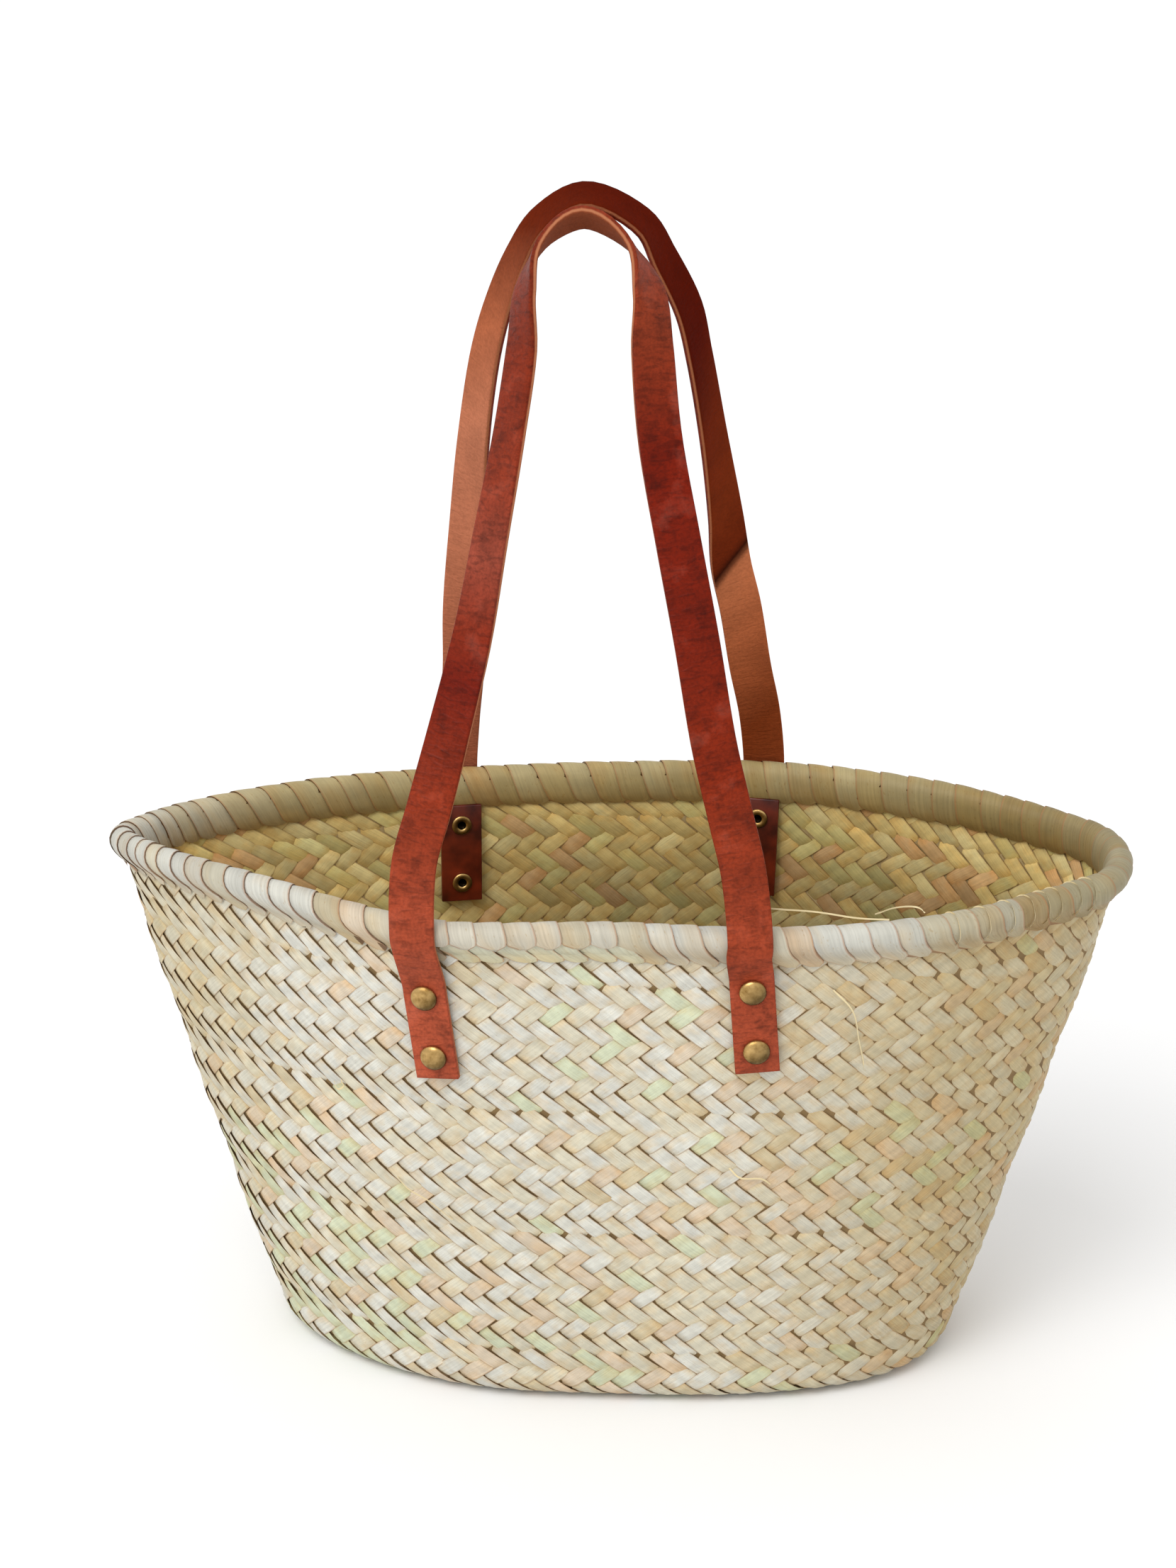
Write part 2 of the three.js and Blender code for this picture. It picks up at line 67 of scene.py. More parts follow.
# %% [markdown]
# The wall is the surface that everything follows, so it comes first as a formula, with the same sizes
# as the solid. The bag is an oval at the base and a longer, pinched one at the rim. Each place on the
# wall has a turn round the basket, 0 at the right end and three quarters of a turn at the front. A
# short table holds how full the oval is along its length. Tracing the solid's facets would also work,
# but they are 14 mm wide and would show through the plait.
# %% Sizes and the table of the rim
RIM_LENGTH = 0.430             # over the wound rim
RIM_DEPTH = 0.193
RIM_HEIGHT = 0.222             # ground to the middle of the rim
BASE_LENGTH = 0.290
BASE_DEPTH = 0.150
BASE_CORNER = 0.009            # radius where the base turns up
WALL = 0.003
BAND_HEIGHT = 0.0585           # one sewn band
FIRST_SEAM = 0.025
BAND_CROWN = 0.0012            # how far a band stands out between its seams
WALL_BELLY = 0.001
ROLL_RADIUS = 0.0065           # the wound rim
RIM_HALF_LENGTH = RIM_LENGTH / 2 - ROLL_RADIUS + WALL / 2
RIM_HALF_DEPTH = RIM_DEPTH / 2 - ROLL_RADIUS + WALL / 2
TURN_STEP = 0.01
HEIGHT_STEP = 0.004

STATION_COLUMNS = ("along", "front", "back", "base", "front_rise", "back_rise")
STATIONS = (
    (-1.00, 0.46, 0.46, 0.90, 0.000, 0.000),
    (-0.90, 0.64, 0.66, 0.98, 0.005, 0.000),
    (-0.65, 0.87, 0.86, 1.03, 0.012, -0.005),
    (-0.35, 1.02, 0.95, 1.04, -0.004, -0.013),
    (0.00, 0.99, 0.99, 1.00, 0.004, -0.009),
    (0.35, 1.02, 1.02, 1.04, -0.004, 0.001),
    (0.65, 1.03, 1.00, 1.12, -0.001, 0.001),
    (0.90, 0.98, 1.01, 1.26, 0.004, -0.004),
    (1.00, 1.16, 1.16, 1.36, 0.000, 0.000),
)


def columns(names, rows):
    return {name: np.array(values, float) for name, values in zip(names, zip(*rows))}


def read_table(table, key, name, at):
    """A smooth cubic through one column of a table."""
    keys, values = table[key], table[name]
    slopes = np.gradient(values, keys)
    slopes[1:-1] = (values[2:] - values[:-2]) / (keys[2:] - keys[:-2])
    i = np.clip(np.searchsorted(keys, at) - 1, 0, len(keys) - 2)
    width = keys[i + 1] - keys[i]
    t = (at - keys[i]) / width
    return (values[i] * (2 * t**3 - 3 * t**2 + 1) + values[i + 1] * (3 * t**2 - 2 * t**3)
            + slopes[i] * width * (t**3 - 2 * t**2 + t) + slopes[i + 1] * width * (t**3 - t**2))


stations = columns(STATION_COLUMNS, STATIONS)
print("rim table:", len(STATIONS), "stations")

# %% [markdown]
# A few small functions turn a place on the wall into a point. They take whole arrays at once, because
# the plait has thousands of strands to lay.
# %% The wall as a formula


def rim_height(turn):
    ahead = read_table(stations, "along", "front_rise", np.cos(turn))
    behind = read_table(stations, "along", "back_rise", np.cos(turn))
    return RIM_HEIGHT * (1 + np.where(np.sin(turn) < 0, ahead, behind))


def outline(turn, height):
    """The outer wall's outline, seen from above, at a height."""
    x, y = np.cos(turn), np.sin(turn)
    full = np.where(y < 0, read_table(stations, "along", "front", x),
                    read_table(stations, "along", "back", x))
    base = read_table(stations, "along", "base", x)
    share = height / rim_height(turn)
    flat_x = x * (BASE_LENGTH / 2 * (1 - share) + RIM_HALF_LENGTH * share)
    flat_y = y * (BASE_DEPTH / 2 * base * (1 - share) + RIM_HALF_DEPTH * full * share)
    belly = 1 + WALL_BELLY * 4 * share * (1 - share) / np.hypot(flat_x, flat_y)
    return np.stack([flat_x * belly, flat_y * belly], -1)


def level_normal(turn, height):
    along = outline(turn + TURN_STEP, height) - outline(turn - TURN_STEP, height)
    along /= np.linalg.norm(along, axis=-1, keepdims=True)
    return np.stack([along[..., 1], -along[..., 0]], -1)


def wall_point(turn, height, out):
    """A point that stands out of the wall's outline by out."""
    turn, height, out = np.broadcast_arrays(np.asarray(turn, float), height, out)
    flat = outline(turn, height) + level_normal(turn, height) * out[..., None]
    return np.concatenate([flat, height[..., None]], -1)


def unit(vectors):
    return vectors / np.linalg.norm(vectors, axis=-1, keepdims=True)


def way_along(points):
    """How far along a line each of its points lies."""
    return np.concatenate([[0], np.cumsum(np.linalg.norm(np.diff(points, axis=0), axis=1))])


def wall_frame(turn, height):
    """Out of the wall, and up along it."""
    up = unit(wall_point(turn, height + HEIGHT_STEP, 0) - wall_point(turn, height - HEIGHT_STEP, 0))
    level = np.concatenate([level_normal(turn, height), np.zeros(np.shape(turn) + (1,))], -1)
    out = unit(level - up * np.sum(level * up, -1, keepdims=True))
    return out, up


# %% [markdown]
# The plaited sheet runs up the wall, round the corner and under the base, so its place is given by a
# turn and by a distance up the sheet, negative under the base. There the ovals shrink to a short line
# in the middle, the spine where such a base is begun.
# %% From the flat sheet to the basket
LAST_SEAM = FIRST_SEAM + 3 * BAND_HEIGHT
CORNER_ARC = BASE_CORNER * math.pi / 2
BASE_SPINE = 0.070             # half the length of the line in the middle of the base
SHEET_MIDDLE = BASE_CORNER - CORNER_ARC - (BASE_DEPTH / 2 - BASE_CORNER)
ROUND_STEPS = 1440             # in which the way round the basket is measured


def crown(height):
    wave = np.abs(np.sin(np.pi * (height - FIRST_SEAM) / BAND_HEIGHT))
    return np.where((height > FIRST_SEAM) & (height < LAST_SEAM), BAND_CROWN * wave, 0)


def sheet_point(turn, rise, out):
    """A point at a distance up the sheet, standing out of its outer face by out."""
    turn, rise, out = np.broadcast_arrays(np.asarray(turn, float), rise, out)
    out = out + crown(rise)
    angle = np.clip((BASE_CORNER - rise) / BASE_CORNER, 0, math.pi / 2)
    stretch = (rim_height(turn) - LAST_SEAM) / (RIM_HEIGHT - LAST_SEAM)
    high = np.where(rise > LAST_SEAM, LAST_SEAM + (rise - LAST_SEAM) * stretch, rise)
    low = BASE_CORNER - (BASE_CORNER + out) * np.sin(angle)
    height = np.where(rise > BASE_CORNER, high, low)
    inset = BASE_CORNER - (BASE_CORNER + out) * np.cos(angle)
    point = wall_point(turn, height, -inset)
    under = np.clip((BASE_CORNER - CORNER_ARC - rise) / (BASE_DEPTH / 2 - BASE_CORNER), 0, 1)
    spine = np.stack([BASE_SPINE * np.cos(turn), np.zeros_like(turn), height], -1)
    return point + (spine - point) * under[..., None]


def turn_table(rise):
    """Turns at even steps of the way round the basket, and that way's whole length."""
    turns = np.linspace(0, 2 * np.pi, ROUND_STEPS + 1)
    return turns, way_along(sheet_point(turns, rise, 0))


print("round the rim:", round(turn_table(LAST_SEAM)[1][-1], 3), "m, round the base:",
      round(turn_table(0.0)[1][-1], 3), "m")

# %% [markdown]
# Dried palm leaf has fine veins along each strand and a soft sheen. Every strand's long edges are mixed
# towards a darker brown: partly the leaf's own browned edges, and partly painted shade for the thin gaps
# between strands. Each float is also painted darker and warmer towards its ends, as shade where it dives
# under its neighbours. One material serves all the leaf. It reads two attributes that every
# strand carries: its tint, and its own strip coordinates along and across. A pattern fixed in space
# would cut across the strands, so the veins follow those strip coordinates instead.
# %% Palm-leaf material


def srgb(red, green, blue):
    """A colour as a screen shows it, turned into the linear one that shaders use."""
    return tuple(((c / 255 + 0.055) / 1.055) ** 2.4 if c > 10 else c / 255 / 12.92
                 for c in (red, green, blue))


def add_node(tree, kind, **settings):
    node = tree.nodes.new(kind)
    for key, value in settings.items():
        if key.startswith("in_"):
            node.inputs[key[3:].replace("_", " ")].default_value = value
        else:
            setattr(node, key, value)
    return node


def empty_material(name):
    material = bpy.data.materials.new(name)
    material.use_nodes = True
    tree = material.node_tree
    return material, tree, tree.nodes["Principled BSDF"]


def feed(tree, given, socket):
    """Give a socket another node's output, a number or a colour."""
    if isinstance(given, bpy.types.NodeSocket):
        tree.links.new(given, socket)
    elif isinstance(given, (int, float)):
        socket.default_value = given
    else:
        socket.default_value = (*given, 1)


def mixed(tree, kind, factor, first, second):
    """A mix of two colours."""
    node = add_node(tree, "ShaderNodeMix", data_type="RGBA", blend_type=kind)
    feed(tree, factor, node.inputs[0])
    feed(tree, first, node.inputs[6])
    feed(tree, second, node.inputs[7])
    return node.outputs[2]


def worked(tree, operation, *values):
    """A sum on numbers or on other nodes' outputs."""
    node = add_node(tree, "ShaderNodeMath", operation=operation)
    for value, socket in zip(values, node.inputs):
        feed(tree, value, socket)
    return node.outputs[0]


def colour_ramp(tree, source, stops):
    """Stops are pairs of a position and a linear colour."""
    node = tree.nodes.new("ShaderNodeValToRGB")
    points = node.color_ramp.elements
    while len(points) < len(stops):
        points.new(0.5)
    for point, (position, colour) in zip(points, stops):
        point.position = position
        point.color = (*colour, 1)
    tree.links.new(source, node.inputs[0])
    return node.outputs[0]


def ramp(tree, source, *stops):
    """A grey ramp: pairs of position and brightness."""
    return colour_ramp(tree, source, [(position, (grey, grey, grey)) for position, grey in stops])


def noise(tree, place, **settings):
    """A noise pattern at the given coordinates."""
    node = add_node(tree, "ShaderNodeTexNoise", **settings)
    tree.links.new(place, node.inputs["Vector"])
    return node.outputs["Fac"]


def scaled(tree, place, scale):
    """Coordinates stretched by a scale, so that a pattern becomes longer one way."""
    node = add_node(tree, "ShaderNodeMapping")
    node.inputs["Scale"].default_value = scale
    tree.links.new(place, node.inputs["Vector"])
    return node.outputs[0]


def relief(tree, height, strength, distance, below=None):
    """Fine bumps, over coarser ones if those are given."""
    node = add_node(tree, "ShaderNodeBump", in_Strength=strength, in_Distance=distance)
    tree.links.new(height, node.inputs["Height"])
    if below is not None:
        tree.links.new(below, node.inputs["Normal"])
    return node.outputs[0]


def attribute(tree, name, output):
    return add_node(tree, "ShaderNodeAttribute", attribute_name=name).outputs[output]


def split(tree, vector):
    """The x, y and z of a vector."""
    node = add_node(tree, "ShaderNodeSeparateXYZ")
    tree.links.new(vector, node.inputs[0])
    return node.outputs


def object_place(tree, output="Object"):
    return add_node(tree, "ShaderNodeTexCoord").outputs[output]


DIVE_SHADE_REACH = 6.2               # millimetres from a float's middle to where the painted shade at its end is strongest
DIVE_SHADE = (0.97, 0.83, 0.62)  # what the colour is multiplied by there: painted shade, darker and warmer
BLUSH = (1.0, 0.90, 0.78)
FRECKLE = (0.80, 0.66, 0.48)


def leaf_material(name, edge_colour, edge_amount):
    material, tree, shader = empty_material(name)
    link = tree.links.new
    strip = attribute(tree, "strip", "Vector")
    veins = noise(tree, scaled(tree, strip, (0.06, 4.5, 1)), in_Scale=1.6, in_Detail=3, in_Roughness=0.6)
    blotches = noise(tree, strip, in_Scale=0.35, in_Detail=2)
    even = scaled(tree, strip, (1, 3.5, 1))
    wash = noise(tree, even, in_Scale=0.16, in_Detail=2)
    spots = noise(tree, even, in_Scale=1.9, in_Detail=1)
    along, across, _ = split(tree, strip)
    # Painted shade: the long edges are mixed towards a darker brown, partly the leaf's own browned edges,
    # partly shade in the gaps between strands.
    edge = ramp(tree, worked(tree, "ABSOLUTE", across), (0.86, 0), (0.98, edge_amount))
    # Painted shade: each float grows darker and warmer towards its ends, where it dives under its
    # neighbours.
    towards_end = worked(tree, "DIVIDE", worked(tree, "ABSOLUTE", along), DIVE_SHADE_REACH)
    dive_shade = ramp(tree, towards_end, (0.42, 0), (1.0, 1.0))
    fine = ramp(tree, veins, (0.30, 0.80), (0.70, 1.0))
    patch = ramp(tree, blotches, (0.35, 0.84), (0.65, 1.0))
    blush = ramp(tree, wash, (0.48, 0), (0.66, 0.9))
    freckled = ramp(tree, spots, (0.66, 0), (0.74, 0.5))
    colour = mixed(tree, "MULTIPLY", 1.0, attribute(tree, "tint", "Color"), fine)
    colour = mixed(tree, "MULTIPLY", 1.0, colour, patch)
    colour = mixed(tree, "MULTIPLY", blush, colour, BLUSH)
    colour = mixed(tree, "MULTIPLY", freckled, colour, FRECKLE)
    colour = mixed(tree, "MULTIPLY", dive_shade, colour, DIVE_SHADE)
    link(mixed(tree, "MIX", edge, colour, edge_colour), shader.inputs["Base Color"])
    link(ramp(tree, veins, (0.3, 0.62), (0.7, 0.48)), shader.inputs["Roughness"])
    link(relief(tree, veins, 0.35, 0.0004), shader.inputs["Normal"])
    shader.inputs["Specular IOR Level"].default_value = 0.3
    return material


leaf = leaf_material("palm leaf", srgb(158, 116, 66), 0.62)
rim_leaf = leaf_material("rim leaf", srgb(158, 106, 66), 0.6)
print("leaf materials ready")

# %% [markdown]
# Every strand is shown as the floats where it passes over two others. A float is a small pillow: crowned
# across, and diving under its neighbours at both ends. One is made here from a grid of three by six
# faces, bent by moving its vertices, and closed underneath. It has few faces because thousands follow.
# %% One float of the plait
FLOAT_HEIGHT = 0.0013          # from the float's middle down to the strands under it
FLOAT_REACH = 1.22             # how far the ends run on under the neighbours, in half lengths
FLOAT_DIVE = -0.30             # lowest point of the ends, as a share of the height
END_FALL = 0.72                # how fast the ends dive
EDGE_FALL = 0.20               # how much lower both long edges lie, as a share of the height
EDGE_TILT = 0.20               # how much lower one long edge lies than the middle, and the other higher


def closed_pattern(shape):
    """Close the underside of a grid, and give its points and faces, to be repeated."""
    bmesh.ops.holes_fill(shape, edges=[edge for edge in shape.edges if edge.is_boundary], sides=0)
    bmesh.ops.recalc_face_normals(shape, faces=shape.faces)
    shape.verts.index_update()
    points = np.array([vertex.co for vertex in shape.verts])
    faces = [[vertex.index for vertex in face.verts] for face in shape.faces]
    shape.free()
    return points, faces


def float_pattern(along, across):
    """A pillow between -1 and 1, with its height as a share of FLOAT_HEIGHT."""
    shape = bmesh.new()
    bmesh.ops.create_grid(shape, x_segments=along, y_segments=across, size=1)
    for vertex in shape.verts:
        vertex.co.x *= FLOAT_REACH
        fall = END_FALL * abs(vertex.co.x) ** 4 + EDGE_FALL * vertex.co.y ** 2
        vertex.co.z = max(1 - fall - EDGE_TILT * vertex.co.y, FLOAT_DIVE)
    return closed_pattern(shape)


float_corners, float_faces = float_pattern(6, 3)
print("one float:", len(float_corners), "points,", len(float_faces), "faces")

# %% [markdown]
# Copies of the float are joined into one mesh. A list of all the points and one of all the faces are
# much quicker than thousands of objects. Each copy's points carry its tint and its strip coordinates.
# The leaf's cut edges are marked sharp, so that the shading doesn't run round them as on a bead.
# %% Joining many copies into one mesh


def attach(piece, slot, *nodes):
    """The piece rides on the bag and stands for CAD nodes, which it hides; its slot is not used."""
    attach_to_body(piece, "root")
    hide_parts(*nodes)


def mesh_of(name, shape):
    """Turn a finished bmesh into a mesh, and let the bmesh go."""
    mesh = bpy.data.meshes.new(name)
    shape.to_mesh(mesh)
    shape.free()
    return mesh


def mark_points(mesh, name, values):
    """A number for each point, which a material can read."""
    data = mesh.attributes.new(name, "FLOAT", "POINT").data
    data.foreach_set("value", np.asarray(values, np.float32))


def mark_strip(mesh, places):
    """Coordinates along and across a strip, for each point."""
    data = mesh.attributes.new("strip", "FLOAT_VECTOR", "POINT").data
    data.foreach_set("vector", places.reshape(-1).astype(np.float32))


def new_piece(name, mesh, material, smooth=True):
    piece = bpy.data.objects.new(name, mesh)
    bpy.context.collection.objects.link(piece)
    mesh.materials.append(material)
    mesh.polygons.foreach_set("use_smooth", np.full(len(mesh.polygons), smooth))
    return piece


def mark_cut_edges(mesh, faces, corners):
    """Sharp where a copy's largest face, its closed underside, meets the rest."""
    underside = max(faces, key=len)
    cut = np.zeros((corners, corners), bool)
    for first, second in zip(underside, underside[1:] + underside[:1]):
        cut[first, second] = cut[second, first] = True
    ends = np.empty(len(mesh.edges) * 2, np.int32)
    mesh.edges.foreach_get("vertices", ends)
    ends = ends.reshape(-1, 2) % corners
    sharp = mesh.attributes.new("sharp_edge", "BOOLEAN", "EDGE")
    sharp.data.foreach_set("value", cut[ends[:, 0], ends[:, 1]])


def joined_copies(name, places, faces, tints, strips, material):
    """places is copies by corners by 3, tints one colour for each copy, strips as places."""
    copies, corners = places.shape[:2]
    every_face = [[corner + copy * corners for corner in face]
                  for copy in range(copies) for face in faces]
    mesh = bpy.data.meshes.new(name)
    mesh.from_pydata(places.reshape(-1, 3), [], every_face)
    tint = mesh.attributes.new("tint", "FLOAT_COLOR", "POINT")
    colours = np.concatenate([tints, np.ones((copies, 1))], 1)
    tint.data.foreach_set("color", np.repeat(colours, corners, axis=0).ravel())
    mark_strip(mesh, strips)
    mark_cut_edges(mesh, faces, corners)
    print(name, "copies:", copies, "triangles:", copies * sum(len(face) - 2 for face in faces))
    return new_piece(name, mesh, material)


# %% [markdown]
# The plait is a twill, over two and under two, worked so that its floats stand in level rows: one row
# leans like a backslash, the next like a slash. Seven rows make one band. Each band has its own number
# of strands, more towards the rim, because the bag widens while the strands keep their width.
# %% Bands and their rows of floats
ROW_HEIGHT = BAND_HEIGHT / 7
UNDER_ROW = (FIRST_SEAM - BAND_HEIGHT - SHEET_MIDDLE) / 4
# Each band's bottom on the sheet, its rows, the height of a row, and its strands.
BANDS = (
    (SHEET_MIDDLE, 2, UNDER_ROW, 30),
    (SHEET_MIDDLE + 2 * UNDER_ROW, 2, UNDER_ROW, 44),
    (FIRST_SEAM - BAND_HEIGHT, 7, ROW_HEIGHT, 66),
    (FIRST_SEAM, 7, ROW_HEIGHT, 78),
    (FIRST_SEAM + BAND_HEIGHT, 7, ROW_HEIGHT, 85),
    (FIRST_SEAM + 2 * BAND_HEIGHT, 7, ROW_HEIGHT, 92),
    (LAST_SEAM, 2, ROW_HEIGHT, 98),
)


def lay_floats(side, seed):
    """Centres, spans and strand numbers of all the floats on one side of the sheet."""
    chance = np.random.default_rng(seed)
    found = []
    for number, band in enumerate(BANDS):
        bottom, rows, row_height, strands = band
        turns, way = turn_table(bottom + rows * row_height / 2)
        pitch = way[-1] / strands
        shift = chance.random()
        for row in range(rows):
            lean = -1 if row % 2 == 0 else 1
            phase = 0.75 if lean < 0 else 0.25
            for i in range(strands):
                strand = (i + lean * 2 * (row // 2)) % strands
                found.append((bottom + (row + 0.5) * row_height, (i + phase + shift) * pitch,
                              pitch, row_height, lean, number, strand))
    names = ("rise", "way", "pitch", "row_height", "lean", "band", "strand")
    print(side, "floats:", len(found))
    return columns(names, found)


outside = lay_floats("outside", 3)
inside = lay_floats("inside", 5)

# %% [markdown]
# Hand-plaited strands are never quite alike, so each float is a little narrower or wider, longer or
# shorter, higher or lower than the next. The backslash floats are the bolder ones: they run on over the
# ends of the others. Every float is then bent onto the wall. The inside face uses the same floats,
# turned over.
# %% Bending the floats onto the wall
STRIP_SCALE = 1000             # strip coordinates along a strand are in millimetres
BOLD_LENGTH = 1.14             # of a backslash float, in even floats
OTHER_LENGTH = 0.97
OTHER_HEIGHT = 0.84            # of a slash float, in backslash floats
PLUMP_INSIDE = 0.28            # how much more the long edges fall inside, as a share of the height
PLUMP_RIGHT = 0.55             # and outside, towards the right end
STRAY = 0.00025                # how far a float strays from its place
SKEW = 0.03                    # how much its ends are cut askew


def bend_floats(layout, side, seed):
    chance = np.random.default_rng(seed)
    count = len(layout["rise"])
    along, across, height = (float_corners[:, axis] for axis in range(3))
    bold = layout["lean"][:, None] < 0
    wide = chance.uniform(0.98, 1.10, (count, 1))
    long = np.where(bold, BOLD_LENGTH, OTHER_LENGTH) * chance.uniform(0.97, 1.05, (count, 1))
    tall = np.where(bold, 1.0, OTHER_HEIGHT) * chance.uniform(0.86, 1.0, (count, 1)) * FLOAT_HEIGHT
    slide = chance.normal(0, STRAY, (count, 2))
    pitch, row_height, lean = (layout[key][:, None] for key in ("pitch", "row_height", "lean"))
    tuck = across * wide
    reach = along * long
    skew = chance.normal(0, SKEW, (count, 1))
    flat_x = reach * pitch / 2 - tuck * pitch / 4 + skew * across * pitch / 4 + slide[:, :1]
    flat_y = lean * (reach * row_height / 2 + tuck * row_height / 4) + slide[:, 1:]
    facing = 1 if side == "outside" else -1
    places = np.empty((count, len(along), 3))
    for number in range(len(BANDS)):
        chosen = layout["band"] == number
        bottom, rows, row_height_here = BANDS[number][:3]
        turns, way = turn_table(bottom + rows * row_height_here / 2)
        where = (layout["way"][chosen, None] + facing * flat_x[chosen]) % way[-1]
        turn = np.interp(where, way, turns)
        rise = layout["rise"][chosen, None] + flat_y[chosen]
        rise = np.maximum(rise, SHEET_MIDDLE)
        plump = PLUMP_INSIDE
        if side == "outside":
            plump = PLUMP_RIGHT * np.clip(np.cos(turn) / 0.7 - 0.3, 0, 1)
        level = np.maximum(height - plump * across**2, FLOAT_DIVE)
        out = -FLOAT_HEIGHT + level * tall[chosen]
        places[chosen] = sheet_point(turn, rise, out if side == "outside" else -WALL - out)
    strips = np.empty_like(places)
    strips[..., 0] = along * pitch * STRIP_SCALE / 2
    strips[..., 1] = across
    strips[..., 2] = (layout["strand"] * 7 + layout["band"] * 31 + (lean[:, 0] > 0) * 3.3)[:, None]
    return places, strips


# %% [markdown]
# The leaf is mostly ivory, with some strands greener, pinker or tanner than others. A strand keeps its
# colour along its whole length, which draws faint slanting streaks across the bag. The outside is
# palest in the middle. Towards the right end it is yellower and painted darker as shade, at the very
# left it is painted darker and yellower in the same way, and low down on the left it is greener. Inside,
# the leaf shows its darker olive side, painted brighter at the left end and just under the rim as
# painted light, and darker lower down towards the middle and the right as painted shade.
# %% Tints of the strands
IVORY, CREAM, TAN = srgb(222, 220, 208), srgb(220, 213, 190), srgb(213, 199, 166)
GREEN, PEACH = srgb(212, 217, 186), srgb(222, 205, 180)
OLIVE, STRAW = srgb(238, 212, 140), srgb(244, 225, 160)
BROWN, MOSS = srgb(238, 196, 138), srgb(226, 212, 142)
RIGHT_YELLOW_AND_SHADE = (0.78, 0.68, 0.49)   # yellower leaf and painted shade towards the right end
LEFT_YELLOW_AND_SHADE = (0.90, 0.84, 0.70)    # and at the very left, yellower leaf and painted shade


def strand_draws(layout, seed):
    """The same random numbers for every float of one strand."""
    chance = np.random.default_rng(seed)
    lots = chance.random((len(BANDS), 2, 128, 3))
    rising = (layout["lean"] > 0).astype(int)
    return lots[layout["band"].astype(int), rising, layout["strand"].astype(int)]


def pick(draws, choices):
    """choices are pairs of a colour and its weight for each float."""
    weights = np.stack([np.broadcast_to(weight, draws.shape) for _, weight in choices], 1)
    edges = np.cumsum(weights, 1) / weights.sum(1, keepdims=True)
    index = (draws[:, None] > edges).sum(1)
    return np.array([colour for colour, _ in choices])[np.clip(index, 0, len(choices) - 1)]


def towards(shade, amount):
    """What a tint is multiplied by: 1 where amount is 0, and the shade where it is 1."""
    return 1 + (np.array(shade) - 1) * amount


def outside_tints(layout, centres, seed):
    draws = strand_draws(layout, seed)
    x, z = centres[:, 0], centres[:, 2]
    right = np.clip((x - 0.04) / 0.10, 0, 1)
    low_left = np.clip((-x - 0.03) / 0.08, 0, 1) * np.clip((0.12 - z) / 0.06, 0, 1)
    low_middle = np.exp(-((x - 0.01) / 0.08) ** 2) * np.clip((0.13 - z) / 0.06, 0, 1)
    choices = ((IVORY, 4.5), (CREAM, 3.0 + right), (TAN, 0.3 + 0.8 * right),
               (GREEN, 0.4 + 2.4 * low_left), (PEACH, 0.45 + 1.2 * low_middle + 0.5 * right))
    tints = pick(draws[:, 0], choices)
    # Painted shade: towards the right end and at the very left the tints are made darker and yellower,
    # partly the leaf's own colour and partly shade.
    shade = (0.94 + 0.06 * draws[:, 1:2]) * towards(RIGHT_YELLOW_AND_SHADE, right[:, None])
    left = np.clip((-x - 0.13) / 0.05, 0, 1)
    shade = shade * towards(LEFT_YELLOW_AND_SHADE, left[:, None])
    chance = np.random.default_rng(seed + 1)
    return tints * shade * chance.uniform(0.95, 1.02, (len(x), 1))


def inside_tints(layout, centres, seed):
    draws = strand_draws(layout, seed)
    tints = pick(draws[:, 0], ((OLIVE, 4.0), (STRAW, 3.2), (BROWN, 1.5), (MOSS, 1.4)))
    # Painted light and shade: the inside is painted brighter at the left end and just under the rim, where
    # the roll shades it, and darker lower down towards the middle and the right.
    away = np.clip((centres[:, :1] + 0.11) / 0.08, 0, 1)      # 0 at the left end
    below = np.clip((0.20 - centres[:, 2:]) / 0.03, 0, 1)     # 0 just under the rim
    painted_light_and_shade = 1.10 - 0.44 * away * below
    shade = (0.80 + 0.20 * draws[:, 1:2]) * painted_light_and_shade
    chance = np.random.default_rng(seed + 1)
    return np.clip(tints * shade * chance.uniform(0.78, 1.08, (len(tints), 1)), 0, 0.95)


# %% [markdown]
# Now both faces of the plait are laid, each as one mesh. They could be one mesh together, but two are
# easier to look at alone, and each keeps well under the number of faces that other tools like.
# %% Lay the plait, outside and inside
outside_places, outside_strips = bend_floats(outside, "outside", 11)
plait_outside = joined_copies(
    "plait_outside", outside_places, float_faces,
    outside_tints(outside, outside_places.mean(1), 21), outside_strips, leaf)
attach(plait_outside, "straw", "basket_body")

inside_places, inside_strips = bend_floats(inside, "inside", 12)
plait_inside = joined_copies(
    "plait_inside", inside_places, float_faces,
    inside_tints(inside, inside_places.mean(1), 22), inside_strips, leaf)
attach(plait_inside, "straw", "basket_body")

# %% [markdown]
# Where strands cross there are small gaps, and behind them lie more strands, in shadow. A thin shell
# between the two faces of floats closes those gaps. Its dark browns are painted shade, standing for those
# strands in shadow. It starts as a flat grid, is bent onto the wall like the floats, merged where its ends
# meet, and given its thickness. Its outer side is marked, as the leaf there is paler.
# %% The shell between the floats
CORE_OUT = -0.0011
CORE_THICKNESS = 0.0006
CORE_TOP = 0.219

